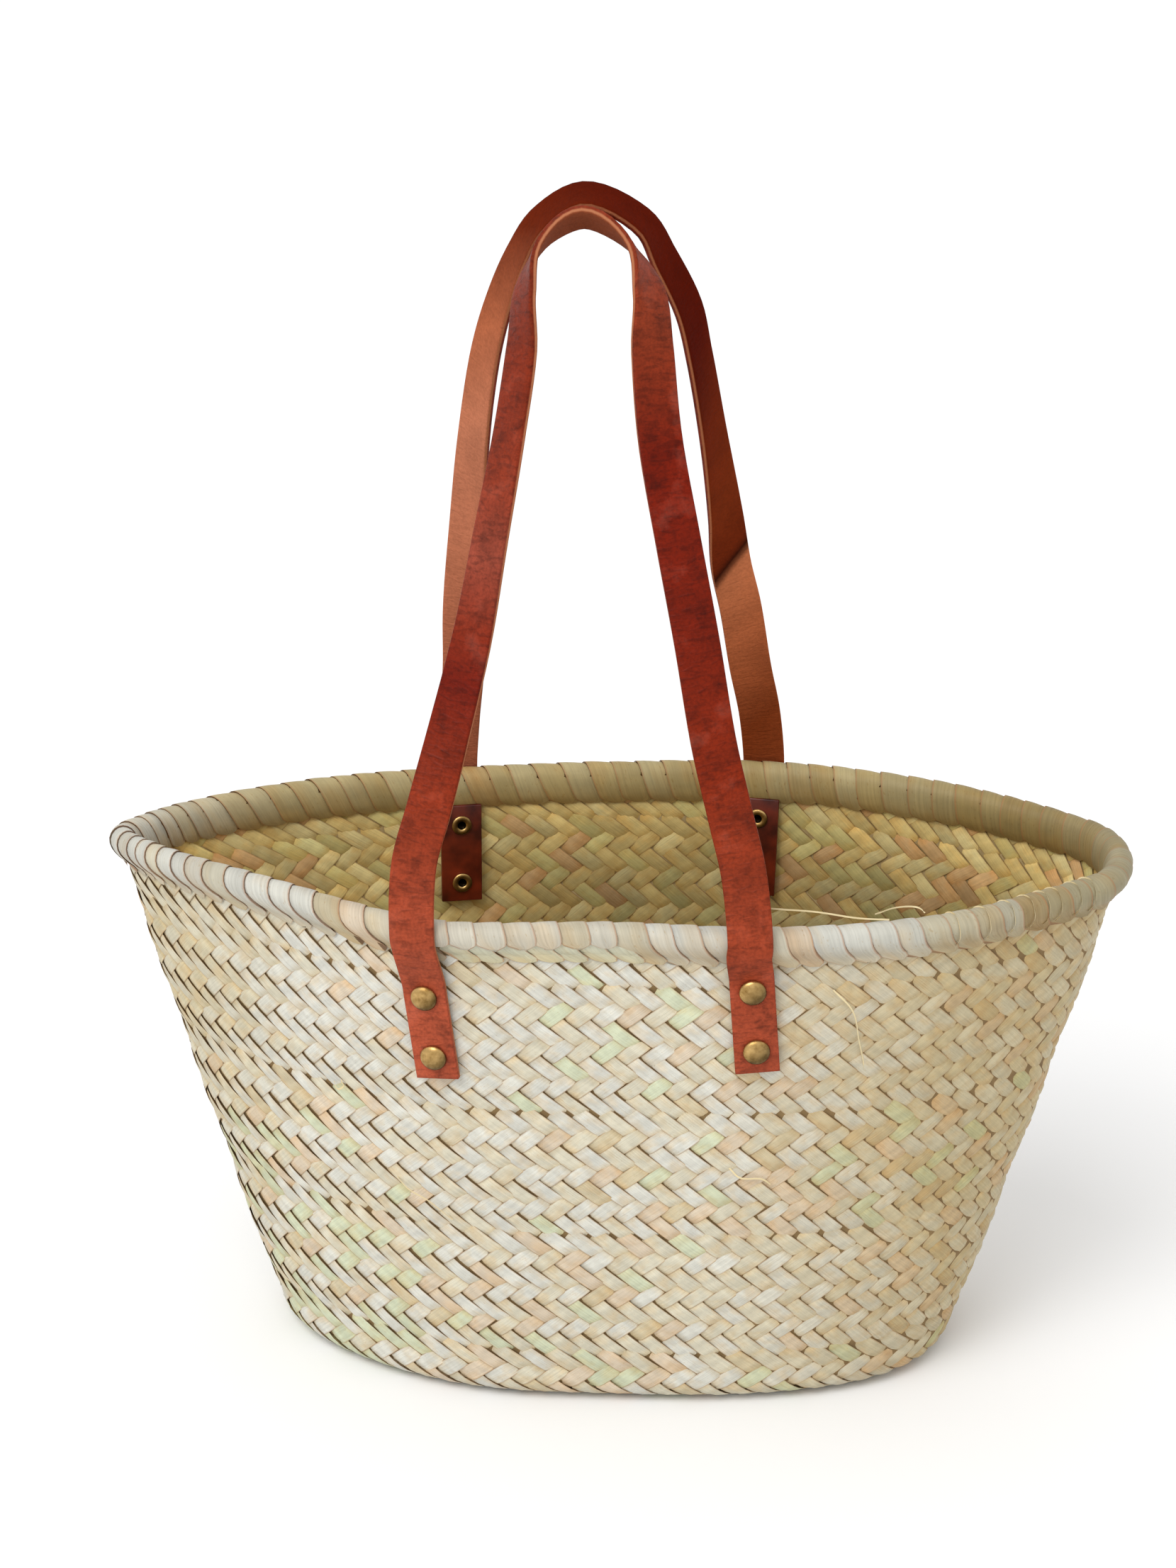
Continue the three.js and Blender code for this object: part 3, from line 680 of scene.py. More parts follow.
core_shape = bmesh.new()
bmesh.ops.create_grid(core_shape, x_segments=160, y_segments=36, size=0.5)
flat = np.array([vertex.co for vertex in core_shape.verts])
bent = sheet_point((flat[:, 0] + 0.5) * 2 * np.pi,
                   SHEET_MIDDLE + (flat[:, 1] + 0.5) * (CORE_TOP - SHEET_MIDDLE), CORE_OUT)
for vertex, place in zip(core_shape.verts, bent):
    vertex.co = place
bmesh.ops.remove_doubles(core_shape, verts=core_shape.verts, dist=0.00002)
bmesh.ops.recalc_face_normals(core_shape, faces=core_shape.faces)
outer_count = len(core_shape.verts)
bmesh.ops.solidify(core_shape, geom=core_shape.faces, thickness=CORE_THICKNESS)
core_mesh = mesh_of("plait_core", core_shape)
reach = np.array([vertex.co.x for vertex in core_mesh.vertices])
outer = np.arange(len(reach)) < outer_count
if reach[outer].max() < reach[~outer].max():
    outer = ~outer
mark_points(core_mesh, "outer", outer)

# Painted shade: the shell is given dark browns for the shadowed strands in the gaps, paler on its outer
# side.
core_material, core_tree, core_shader = empty_material("leaf in shadow")
core_noise = noise(core_tree, object_place(core_tree), in_Scale=220, in_Detail=2)
core_dark = mixed(core_tree, "MIX", core_noise, srgb(96, 72, 40), srgb(142, 116, 74))
core_pale = mixed(core_tree, "MIX", core_noise, srgb(136, 112, 70), srgb(198, 174, 124))
core_colour = mixed(core_tree, "MIX", attribute(core_tree, "outer", "Fac"), core_dark, core_pale)
core_tree.links.new(core_colour, core_shader.inputs["Base Color"])
core_shader.inputs["Roughness"].default_value = 0.85
plait_core = new_piece("plait_core", core_mesh, core_material)
attach(plait_core, "straw", "basket_body")
print("shell faces:", len(core_mesh.polygons))

# %% [markdown]
# The rim is a roll of leaf strips, wound round the wall's top edge and tucked into the plait on both
# sides. Each wrap is a strip that starts at a rounded tongue outside, goes up over the roll and down to a
# longer tongue inside, moving on by one pitch as it goes, so it leans. One wrap is a flat grid, and its
# points are laid along the roll's section, which is a short table: out from the middle of the wall, and
# up from the middle of the rim. A twisted curve with a bevel would give the roll, but not the
# overlapping edges or the tongues.
# %% One wrap of the rim
WRAP_PATH_STEPS = 22
WRAP_ACROSS = 4
WRAP_LEAF = 0.0005             # how far a wrap's upper edge stands over the next wrap
SECTION_COLUMNS = ("share", "out", "up")
SECTION = (
    (0.000, 0.0020, -0.0107), (0.070, 0.0023, -0.0076), (0.166, 0.0044, -0.0040),
    (0.255, 0.0055, -0.0003), (0.333, 0.0047, 0.0030), (0.416, 0.0019, 0.0052),
    (0.505, -0.0016, 0.0053), (0.600, -0.0044, 0.0031), (0.690, -0.0053, -0.0006),
    (0.790, -0.0050, -0.0046), (0.890, -0.0040, -0.0085), (1.000, -0.0022, -0.0122),
)
section_table = columns(SECTION_COLUMNS, SECTION)


def wrap_path(share):
    """Place and outward direction across the roll's section, from one tongue to the other."""
    def place(at):
        return np.stack([read_table(section_table, "share", name, at) for name in ("out", "up")], -1)
    along = unit(place(np.minimum(share + 0.01, 1)) - place(np.maximum(share - 0.01, 0)))
    return place(share), np.stack([along[..., 1], -along[..., 0]], -1)


wrap_shape = bmesh.new()
bmesh.ops.create_grid(wrap_shape, x_segments=WRAP_PATH_STEPS, y_segments=WRAP_ACROSS, size=1)
wrap_flat, wrap_faces = closed_pattern(wrap_shape)
print("one wrap:", len(wrap_flat), "points")

# %% [markdown]
# The wraps are about 11 mm apart and crowd together at the pinched left tip. Each covers the edge of the
# next one, like a row of shingles bent into a ring. Beside the left strap, where the winding was begun
# and ended, they stop short, and an earlier row of tongues shows below them.
# %% Wind the rim
WRAP_PITCH_TIP = 0.0066
WRAP_PITCH = 0.0110
WRAP_HALF_WIDTH = 0.60         # in pitches, so that it covers the next one's edge
WRAP_STRIP = 11                # millimetres of strip coordinate along a wrap
LEAN_SHARE = 1.15              # pitches that a wrap moves on from one tongue to the other
SWEEP = 0.55                   # pitches that its outer tongue runs on to the right
EARLY_FROM, EARLY_TO = 246.0, 268.5    # degrees round the rim: where the earlier row shows
SHORT_SHARE = 0.21             # share of the section at which the later wraps stop there
SHORT_LIFT = 0.0008            # how far their ends stand off the earlier row
SHORT_BLUSH = (1.0, 0.95, 0.88)    # and they are a little pinker
EARLY_END = 0.36               # share at which the earlier row is out of sight
EARLY_SINK = 0.0008            # how far it sinks under the later wraps
EARLY_SHIFT = 0.35             # pitches between the two rows
EARLY_TINT = srgb(226, 228, 206)
PAINTED_BACK_SHADE = (0.82, 0.68, 0.38)    # painted shade: the rim is painted darker and yellower at the back
PAINTED_END_SHADE = (0.60, 0.53, 0.36)     # and painted duller, as shade, at the right end


def rim_way():
    turns = np.linspace(0, 2 * np.pi, 2 * ROUND_STEPS + 1)
    points = wall_point(turns, rim_height(turns), -WALL / 2)
    return turns, way_along(points), points


def wrap_starts(chance):
    """Places of the wraps along the rim, closer together towards the left end."""
    turns, way, points = rim_way()
    places = [0.0]
    while places[-1] < way[-1]:
        x = np.interp(places[-1], way, points[:, 0])
        tip = np.clip((-x - 0.165) / 0.03, 0, 1)
        pitch = WRAP_PITCH + (WRAP_PITCH_TIP - WRAP_PITCH) * tip
        places.append(places[-1] + pitch * chance.uniform(0.88, 1.12))
    places = np.array(places) * way[-1] / places[-1]
    return places[:-1], np.diff(places)


rim_chance = np.random.default_rng(31)
turns_round, way_round, _ = rim_way()


def wind(starts, pitches, first, last, sink):
    """Points and strip coordinates of wraps that run from one share of the section to another."""
    count = len(starts)
    share = first[:, None] + (last - first)[:, None] * (wrap_flat[:, 0] + 1) / 2
    across = wrap_flat[:, 1]
    end_share = np.clip(np.minimum(share - first[:, None], last[:, None] - share) / 0.11, 0, 1)
    narrow = 0.30 + 0.70 * np.sqrt(1 - (1 - end_share) ** 2)
    sweep = SWEEP * np.clip(1 - share / 0.30, 0, 1) ** 2
    lean = rim_chance.uniform(0.85, 1.15, (count, 1)) * LEAN_SHARE
    aside = WRAP_HALF_WIDTH * across * narrow
    where = starts[:, None] + pitches[:, None] * (0.5 + aside + lean * (0.5 - share) + sweep)
    turn = np.interp(where % way_round[-1], way_round, turns_round)
    short = (first[:, None] > 0) * np.clip(1 - (share - first[:, None]) / 0.25, 0, 1)
    lift = (WRAP_LEAF * (0.9 * across + 0.6 * (1 - across**2)) * end_share + SHORT_LIFT * short
            - sink * np.clip((share - 0.12) / 0.10, 0, 1) + rim_chance.uniform(-0.0001, 0.0002, (count, 1)))
    section, section_out = wrap_path(share)
    section = section + section_out * lift[..., None]
    out, up = wall_frame(turn, rim_height(turn))
    places = wall_point(turn, rim_height(turn), -WALL / 2) + out * section[..., :1] + up * section[..., 1:]
    own_pattern = np.arange(count)[:, None] * 3.7
    strips = np.stack(np.broadcast_arrays((share - 0.5) * WRAP_STRIP, across, own_pattern), -1)
    return places, strips


starts, pitches = wrap_starts(rim_chance)
start_turns = np.degrees(np.interp(starts, way_round, turns_round))
early = (start_turns > EARLY_FROM) & (start_turns < EARLY_TO)
late_places, late_strips = wind(starts, pitches, early * SHORT_SHARE, np.ones(len(starts)), 0)
late_tints = pick(rim_chance.random(len(starts)), ((IVORY, 6.0), (CREAM, 4.0), (TAN, 0.4), (PEACH, 0.5)))
late_tints = np.where(early[:, None], late_tints * SHORT_BLUSH, late_tints)
early_count = np.count_nonzero(early)
early_places, early_strips = wind(starts[early] + pitches[early] * EARLY_SHIFT, pitches[early],
                                  np.zeros(early_count), np.full(early_count, EARLY_END), EARLY_SINK)
wrap_places = np.concatenate([late_places, early_places])
wrap_strips = np.concatenate([late_strips, early_strips])
wrap_tints = np.concatenate([late_tints, np.tile(EARLY_TINT, (early_count, 1))])
wrap_tints = wrap_tints * rim_chance.uniform(0.74, 0.82, (len(wrap_tints), 1))
wrap_middles = wrap_places.mean(1)
# Painted shade: wraps towards the back and towards the right end are darkened, where the rim faces away
# from the light.
behind = np.clip(wrap_middles[:, 1:2] / 0.05, 0, 1)
end_shade_share = np.clip((wrap_middles[:, :1] - 0.10) / 0.08, 0, 1)
wrap_tints = wrap_tints * towards(PAINTED_BACK_SHADE, behind) * towards(PAINTED_END_SHADE, end_shade_share)
rim_wraps = joined_copies("rim_wraps", wrap_places, wrap_faces, wrap_tints, wrap_strips, rim_leaf)
attach(rim_wraps, "rim_leaf", "rim_binding")

# %% [markdown]
# Between neighbouring tongues one can see into the roll, where more leaf lies, in shade. A ring with the
# roll's section, a little thinner than the wraps, fills it, in the shell's dark browns of painted shade.
# It is a flat grid bent round the rim, with the ends merged in both directions.
# %% The filling of the rim
FILLING_DEPTH = 0.0006
FILLING_SECTION = 20

ring_shape = bmesh.new()
bmesh.ops.create_grid(ring_shape, x_segments=220, y_segments=FILLING_SECTION, size=0.5)
flat = np.array([vertex.co for vertex in ring_shape.verts])
around = np.round((flat[:, 1] + 0.5) * FILLING_SECTION).astype(int) % FILLING_SECTION
ring_section, ring_out = wrap_path(np.linspace(0.05, 0.95, FILLING_SECTION))
ring_section = ring_section - ring_out * FILLING_DEPTH
ring_turn = (flat[:, 0] + 0.5) * 2 * np.pi
ring_frame_out, ring_frame_up = wall_frame(ring_turn, rim_height(ring_turn))
ring_places = (wall_point(ring_turn, rim_height(ring_turn), -WALL / 2)
               + ring_frame_out * ring_section[around, 0:1] + ring_frame_up * ring_section[around, 1:2])
for vertex, place in zip(ring_shape.verts, ring_places):
    vertex.co = place
bmesh.ops.remove_doubles(ring_shape, verts=ring_shape.verts, dist=0.00002)
bmesh.ops.recalc_face_normals(ring_shape, faces=ring_shape.faces)
ring_mesh = mesh_of("rim_filling", ring_shape)
# Painted shade: the filling takes the shell's dark browns.
rim_filling = new_piece("rim_filling", ring_mesh, core_material)
attach(rim_filling, "rim_leaf", "rim_binding")
print("filling faces:", len(ring_mesh.polygons))

# %% [markdown]
# The straps are 18 mm strips of thick leather. Each one is made flat, from a box with softly rounded
# edges, cut into short lengths, and then bent along its route: up the wall from the lower rivet, over
# the rim, and through the arch, turning as it goes. The route is the solid's own, so its rows are
# repeated here. A curve with a bevelled section would turn the strap by itself in the wrong places.
# %% Routes of the straps
STRAP_WIDTH = 0.018
STRAP_THICKNESS = 0.003
GAP = 0.0003
END_MARGIN = 0.010
FRONT_ARCH_HEIGHT = 0.270
REAR_ARCH_HEIGHT = 0.2765
APEX_X = -0.014
APEX_DEPTH = 0.0045
RIM_ROOM = 0.0008
BELOW_RIM = -0.35
ABOVE_RIM = 0.25
RIVET_DROP = 0.022
RIVET_SPACING = 0.027
CAP_RADIUS = 0.0055
STRAP_OFFSET = BAND_CROWN + GAP + STRAP_THICKNESS / 2

FEET = {
    ("front", "left"): {"along": -0.333, "drop": 1.23, "lean": -0.12},
    ("front", "right"): {"along": 0.270, "drop": 0.91, "lean": -0.07},
    ("rear", "left"): {"along": -0.344, "drop": 1.00, "lean": 0},
    ("rear", "right"): {"along": 0.272, "drop": 0.86, "lean": 0.03},
}
# Each row holds the leg, the share of the way up the arch, the share of the way out to the leg's foot,
# and the turn in degrees.
FRONT_ROUTE = (
    ("left", 0.10, 0.995, 2), ("left", 0.18, 0.905, 10), ("left", 0.28, 0.795, 24),
    ("left", 0.42, 0.650, 34), ("left", 0.56, 0.545, 43), ("left", 0.70, 0.440, 50),
    ("left", 0.82, 0.370, 52), ("left", 0.90, 0.355, 68), ("left", 0.965, 0.250, 104),
    ("right", 1.00, 0.000, 126), ("right", 0.965, 0.250, 106), ("right", 0.90, 0.370, 58),
    ("right", 0.82, 0.395, 32), ("right", 0.70, 0.445, 24), ("right", 0.56, 0.555, 16),
    ("right", 0.42, 0.670, 12), ("right", 0.28, 0.775, 14), ("right", 0.18, 0.875, 6),
    ("right", 0.10, 0.955, 4),
)
REAR_ROUTE = (
    ("left", 0.10, 0.965, 2), ("left", 0.19, 0.920, 6), ("left", 0.30, 0.900, 15),
    ("left", 0.45, 0.840, 31), ("left", 0.60, 0.775, 45), ("left", 0.74, 0.675, 51),
    ("left", 0.82, 0.580, 56), ("left", 0.90, 0.445, 63), ("left", 0.96, 0.285, 68),
    ("right", 1.00, 0.000, 74), ("right", 0.96, 0.300, 72), ("right", 0.90, 0.420, 65),
    ("right", 0.82, 0.550, 62), ("right", 0.74, 0.610, 64), ("right", 0.60, 0.690, 60),
    ("right", 0.47, 0.755, 45), ("right", 0.38, 0.790, 26), ("right", 0.30, 0.850, 14),
    ("right", 0.19, 0.910, 8), ("right", 0.10, 0.970, 2),
)


def upper_rivet(foot):
    return RIM_HEIGHT - RIVET_DROP * foot["drop"]


def leg_x(foot, height):
    return RIM_LENGTH / 2 * foot["along"] + foot["lean"] * (height - upper_rivet(foot))


def turn_at(side, x, height):
    """The turn at which the front or back wall has a given x."""
    turns = np.linspace(0, np.pi, 2001) + (np.pi if side == "front" else 0)
    reach = outline(turns, height)[:, 0]
    order = np.argsort(reach)
    return float(np.interp(x, reach[order], turns[order]))


def on_wall(side, foot, height):
    turn = turn_at(side, leg_x(foot, height), height)
    out, _ = wall_frame(turn, height)
    return wall_point(turn, height, 0) + out * STRAP_OFFSET


def over_rim(side, foot, angle):
    turn = turn_at(side, leg_x(foot, RIM_HEIGHT), RIM_HEIGHT)
    out, up = wall_frame(turn, rim_height(turn))
    reach = ROLL_RADIUS + GAP + RIM_ROOM + STRAP_THICKNESS / 2
    centre = wall_point(turn, rim_height(turn), -WALL / 2)
    return centre + out * reach * math.cos(angle) + up * reach * math.sin(angle)


def facing(tangent):
    """Straight ahead, and towards the arch's inside, both square to the route."""
    ahead = np.array([0, -1, 0]) - tangent * -tangent[..., 1:2]
    ahead = unit(ahead)
    return ahead, unit(np.cross(tangent, ahead))


def wall_turn(side, leg, foot):
    """How far the strap is turned to lie flat on the wall, in degrees."""
    height = upper_rivet(foot)
    out, _ = wall_frame(turn_at(side, leg_x(foot, height), height), height)
    face = out if side == "front" else -out
    ahead, inner = facing(np.array([0, 0, 1.0 if leg == "left" else -1.0]))
    return math.degrees(math.atan2(-face @ inner, face @ ahead))


def strap_rows(side, route, arch):
    """Points of the route and the turn at each, from one lower end to the other."""
    depth = -APEX_DEPTH if side == "front" else APEX_DEPTH
    ends = {}
    for leg in ("left", "right"):
        foot = FEET[side, leg]
        turn = wall_turn(side, leg, foot)
        upper = upper_rivet(foot)
        lower = upper - RIVET_SPACING
        rows = [(on_wall(side, foot, height), turn)
                for height in (lower - END_MARGIN, lower, upper, upper + CAP_RADIUS)]
        rows.append((over_rim(side, foot, BELOW_RIM), turn))
        rows.append((over_rim(side, foot, ABOVE_RIM), turn / 2))
        ends[leg] = rows
    above = []
    for leg, rise, across_share, turn in route:
        start = ends[leg][-1][0]
        point = (APEX_X + (start[0] - APEX_X) * across_share,
                 start[1] + (depth - start[1]) * rise,
                 start[2] + (RIM_HEIGHT + arch - start[2]) * rise)
        above.append((np.array(point), turn))
    rows = ends["left"] + above + ends["right"][::-1]
    return np.array([row[0] for row in rows]), np.array([row[1] for row in rows], float)


front_points, front_turns = strap_rows("front", FRONT_ROUTE, FRONT_ARCH_HEIGHT)
rear_points, rear_turns = strap_rows("rear", REAR_ROUTE, REAR_ARCH_HEIGHT)
print("strap rows:", len(front_points), len(rear_points), "top of the arch:", rear_points[:, 2].max())

# %% [markdown]
# Between its rows the route is a smooth curve of the kind called centripetal Catmull-Rom: it passes
# through every row and doesn't loop or swing out where rows lie close together.
# %% A smooth curve through the rows


def smooth_curve(points, at):
    """Places on the curve at shares from 0 to 1."""
    ends = np.vstack([2 * points[0] - points[1], points, 2 * points[-1] - points[-2]])
    last = len(points) - 1
    i = np.clip((at * last).astype(int), 0, last - 1)
    t = (at * last - i)[:, None]
    p0, p1, p2, p3 = (ends[i + k] for k in range(4))
    d0, d1, d2 = (np.sqrt(np.linalg.norm(b - a, axis=1))[:, None]
                  for a, b in ((p0, p1), (p1, p2), (p2, p3)))
    m1 = ((p1 - p0) / d0 - (p2 - p0) / (d0 + d1) + (p2 - p1) / d1) * d1
    m2 = ((p2 - p1) / d1 - (p3 - p1) / (d1 + d2) + (p3 - p2) / d2) * d1
    return (p1 + m1 * t + (-3 * p1 + 3 * p2 - 2 * m1 - m2) * t**2
            + (2 * p1 - 2 * p2 + m1 + m2) * t**3)


def strap_frame(points, turns, at):
    """Middle, across and face directions at shares of the route."""
    step = 0.0001
    tangent = unit(smooth_curve(points, np.clip(at + step, 0, 1))
                   - smooth_curve(points, np.clip(at - step, 0, 1)))
    rows = {"row": np.arange(len(turns), dtype=float), "turn": turns}
    turn = np.radians(read_table(rows, "row", "turn", at * (len(turns) - 1)))[:, None]
    ahead, inner = facing(tangent)
    across_way = inner * np.cos(turn) + ahead * np.sin(turn)
    face = ahead * np.cos(turn) - inner * np.sin(turn)
    return smooth_curve(points, at), across_way, face


# %% [markdown]
# The flat strap is a box: its long edges are rounded with a bevel, then it is cut into short lengths so
# that it can bend, and a few strips across so that it can cup a little.
# %% Make and bend a strap
STRAP_STEPS = 168
EDGE_ROUNDING = 0.0007
STRAP_CUP = 0.0003             # how far the middle of the width stands out of the edges


def flat_strap():
    shape = bmesh.new()
    bmesh.ops.create_cube(shape, size=1)
    bmesh.ops.scale(shape, vec=(1, STRAP_WIDTH, STRAP_THICKNESS), verts=shape.verts)
    bmesh.ops.translate(shape, vec=(0.5, 0, 0), verts=shape.verts)
    wide = [e for e in shape.edges if abs(e.verts[0].co.y - e.verts[1].co.y) > STRAP_WIDTH / 2]
    bmesh.ops.subdivide_edges(shape, edges=wide, cuts=5, use_grid_fill=True)
    corner = [e for e in shape.edges if abs(e.verts[0].co.x - e.verts[1].co.x) > 0.5
              and all(abs(v.co.y) > STRAP_WIDTH / 2 - 1e-6 for v in e.verts)]
    bmesh.ops.bevel(shape, geom=corner, offset=EDGE_ROUNDING, segments=3, profile=0.5,
                    affect="EDGES", material=-1)
    long = [e for e in shape.edges if abs(e.verts[0].co.x - e.verts[1].co.x) > 0.5]
    bmesh.ops.subdivide_edges(shape, edges=long, cuts=STRAP_STEPS - 1, use_grid_fill=True)
    bmesh.ops.recalc_face_normals(shape, faces=shape.faces)
    return shape


def bent_strap(name, points, turns, grain_side, material):
    shape = flat_strap()
    flat = np.array([vertex.co for vertex in shape.verts])
    middle, across_way, face = strap_frame(points, turns, flat[:, 0])
    cup = STRAP_CUP * (0.5 - (flat[:, 1] / (STRAP_WIDTH / 2)) ** 2) * grain_side
    free = np.clip(np.minimum(flat[:, 0], 1 - flat[:, 0]) / 0.3, 0, 1)
    places = middle + across_way * flat[:, 1:2] + face * (flat[:, 2] + cup * free)[:, None]
    for vertex, place in zip(shape.verts, places):
        vertex.co = place
    bmesh.ops.recalc_face_normals(shape, faces=shape.faces)
    mesh = mesh_of(name, shape)
    steps = np.linspace(0, 1, 1200)
    way = way_along(smooth_curve(points, steps))
    mark_strip(mesh, np.stack([np.interp(flat[:, 0], steps, way), flat[:, 1], flat[:, 2]], 1))
    mark_points(mesh, "grain", np.clip(0.5 + grain_side * flat[:, 2] / STRAP_THICKNESS, 0, 1))
    piece = new_piece(name, mesh, material)
    print(name, "length:", round(way[-1], 3), "faces:", len(mesh.polygons))
    return piece


# %% [markdown]
# The leather has two sides. The grain side is reddish brown, mottled and finely wrinkled, and glossy in
# patches: its roughness changes in patches, and a painted sheen, a paler pink, is mixed into its colour
# in others. The flesh side is matte and more orange. The cut edges between them are paler. Its colour
# also changes along the strap, darker and paler in turn, so each side has a few colours by the length
# along it, in metres. On the rear strap they lie slantwise, because it has a sharp crease across its
# right leg. There, on the flesh side, they are mostly painted light and shade: dark over the top of the
# arch and down the right leg, painted shade above the crease, a painted shadow line in the fold, and
# painted light below.
# %% Leather material
CREASE_SLANT = 0.77
PAINTED_SHEEN_COLOUR = srgb(214, 132, 112)
FRONT_GRAIN = (
    (0.00, (176, 80, 52)), (0.05, (172, 78, 50)), (0.12, (142, 48, 20)), (0.17, (114, 22, 2)),
    (0.19, (130, 40, 16)), (0.22, (154, 70, 50)), (0.25, (138, 50, 26)), (0.29, (130, 42, 16)),
    (0.36, (130, 46, 20)), (0.42, (142, 54, 26)), (0.47, (120, 24, 0)), (0.54, (118, 26, 2)),
    (0.60, (132, 38, 8)), (0.65, (150, 58, 30)), (0.72, (172, 76, 48)),
)
FRONT_FLESH = ((0.00, (136, 70, 44)), (0.72, (136, 70, 44)))
REAR_GRAIN = ((0.00, (136, 54, 32)), (0.36, (120, 40, 20)), (0.73, (136, 54, 32)))
# The rear strap's flesh side holds painted light and shade: dark over the arch's top and down the right
# leg, a painted shadow line in the crease, and painted light just below it.
REAR_FLESH_AND_PAINTED_SHADE = (
    (0.00, (168, 96, 70)), (0.14, (184, 110, 80)), (0.24, (184, 114, 84)), (0.29, (168, 94, 62)),
    (0.34, (100, 32, 8)), (0.37, (88, 20, 2)), (0.45, (84, 14, 0)), (0.53, (122, 46, 16)),
    (0.558, (112, 40, 14)), (0.561, (58, 20, 8)), (0.5635, (62, 22, 9)), (0.567, (196, 116, 76)),
    (0.60, (190, 106, 66)), (0.65, (146, 68, 32)), (0.73, (150, 74, 40)),
)


def colour_stops(tree, source, stops):
    """A colour that changes with a length: pairs of metres along and the colour on a screen."""
    length = stops[-1][0]
    return colour_ramp(tree, worked(tree, "DIVIDE", source, length),
                       [(metres / length, srgb(*colour)) for metres, colour in stops])


def leather_material(name, grain_stops, flesh_stops, edge_colour, slant):
    material, tree, shader = empty_material(name)
    link = tree.links.new
    strip = attribute(tree, "strip", "Vector")
    side = attribute(tree, "grain", "Fac")
    clouds = noise(tree, strip, in_Scale=46, in_Detail=5, in_Roughness=0.62)
    stains = noise(tree, strip, in_Scale=110, in_Detail=4, in_Roughness=0.6)
    pores = noise(tree, strip, in_Scale=900, in_Detail=3, in_Roughness=0.55)
    creases = noise(tree, scaled(tree, strip, (1.0, 0.30, 1)), in_Scale=520, in_Detail=2, in_Distortion=0.6)
    along, across, _ = split(tree, strip)
    slanted = worked(tree, "MULTIPLY_ADD", across, -slant, along)
    mottle = ramp(tree, clouds, (0.36, 0.66), (0.60, 1.0))
    stain = ramp(tree, stains, (0.32, 0.58), (0.46, 1.0))
    fine = ramp(tree, pores, (0.32, 0.68), (0.60, 1.0))
    wrinkle = ramp(tree, creases, (0.36, 0.66), (0.50, 1.0))
    grain = colour_stops(tree, slanted, grain_stops)
    for shade in (mottle, stain, fine, wrinkle):
        grain = mixed(tree, "MULTIPLY", 0.8, grain, shade)
    # Painted sheen: in some patches the grain's colour is mixed towards a paler pink, standing for a
    # highlight.
    painted_sheen = ramp(tree, clouds, (0.55, 0), (0.72, 0.10))
    grain = mixed(tree, "MIX", painted_sheen, grain, PAINTED_SHEEN_COLOUR)
    flesh = colour_stops(tree, slanted, flesh_stops)
    for shade in (mottle, fine):
        flesh = mixed(tree, "MULTIPLY", 0.5, flesh, shade)
    is_grain = ramp(tree, side, (0.42, 0), (0.60, 1))
    is_flesh = ramp(tree, side, (0.08, 1), (0.24, 0))
    colour = mixed(tree, "MIX", is_grain, edge_colour, grain)
    link(mixed(tree, "MIX", is_flesh, colour, flesh), shader.inputs["Base Color"])
    gloss = ramp(tree, clouds, (0.35, 0.40), (0.65, 0.58))
    link(mixed(tree, "MIX", is_grain, (0.85, 0.85, 0.85), gloss), shader.inputs["Roughness"])
    link(ramp(tree, side, (0.42, 0.03), (0.60, 0.10)), shader.inputs["Specular IOR Level"])
    wrinkled = relief(tree, creases, 0.8, 0.0006)
    link(relief(tree, pores, 0.3, 0.0002, wrinkled), shader.inputs["Normal"])
    return material


front_leather = leather_material("front strap leather", FRONT_GRAIN, FRONT_FLESH, srgb(170, 108, 76), 0)
rear_leather = leather_material("rear strap leather", REAR_GRAIN, REAR_FLESH_AND_PAINTED_SHADE, srgb(160, 98, 66),
                                CREASE_SLANT)

strap_front_piece = bent_strap("leather_strap_front", front_points, front_turns, 1, front_leather)
attach(strap_front_piece, "strap_leather", "strap_front")
strap_rear_piece = bent_strap("leather_strap_rear", rear_points, rear_turns, -1, rear_leather)
attach(strap_rear_piece, "strap_leather", "strap_rear")

# %% [markdown]
# Inside the wall a leather tab backs each strap end. It is a small stiff plate with rounded edges, and
# it stands in line with its two rivets.
# %% Backing tabs
TAB_WIDTH = 0.018
TAB_HEIGHT = 0.045
TAB_THICKNESS = 0.0025
TAB_ROOM = 0.0006
TAB_OFFSET = WALL + GAP + TAB_ROOM + TAB_THICKNESS / 2


def backing_tab(side, leg, material):
    foot = FEET[side, leg]
    shape = bmesh.new()
    bmesh.ops.create_cube(shape, size=1)
    bmesh.ops.scale(shape, vec=(TAB_WIDTH, TAB_THICKNESS, TAB_HEIGHT), verts=shape.verts)
    bmesh.ops.bevel(shape, geom=shape.edges[:], offset=0.0005, segments=2, profile=0.5,
                    affect="EDGES", material=-1)
    seats, ways = [], []
    for height in (upper_rivet(foot), upper_rivet(foot) - RIVET_SPACING):
        turn = turn_at(side, leg_x(foot, height), height)
        seats.append(wall_point(turn, height, 0))
        ways.append(wall_frame(turn, height)[0])
    seat = (seats[0] + seats[1]) / 2
    up = unit(seats[0] - seats[1])
    out = ways[0] + ways[1]
    out = unit(out - up * (out @ up))
    across_way = np.cross(out, up)
    for vertex in shape.verts:
        x, y, z = vertex.co
        vertex.co = seat + across_way * x + out * (y - TAB_OFFSET) + up * z
    bmesh.ops.recalc_face_normals(shape, faces=shape.faces)
    name = f"leather_tab_{side}_{leg}"
    piece = new_piece(name, mesh_of(name, shape), material)
    attach(piece, "tab_leather", f"tab_{side}_{leg}")


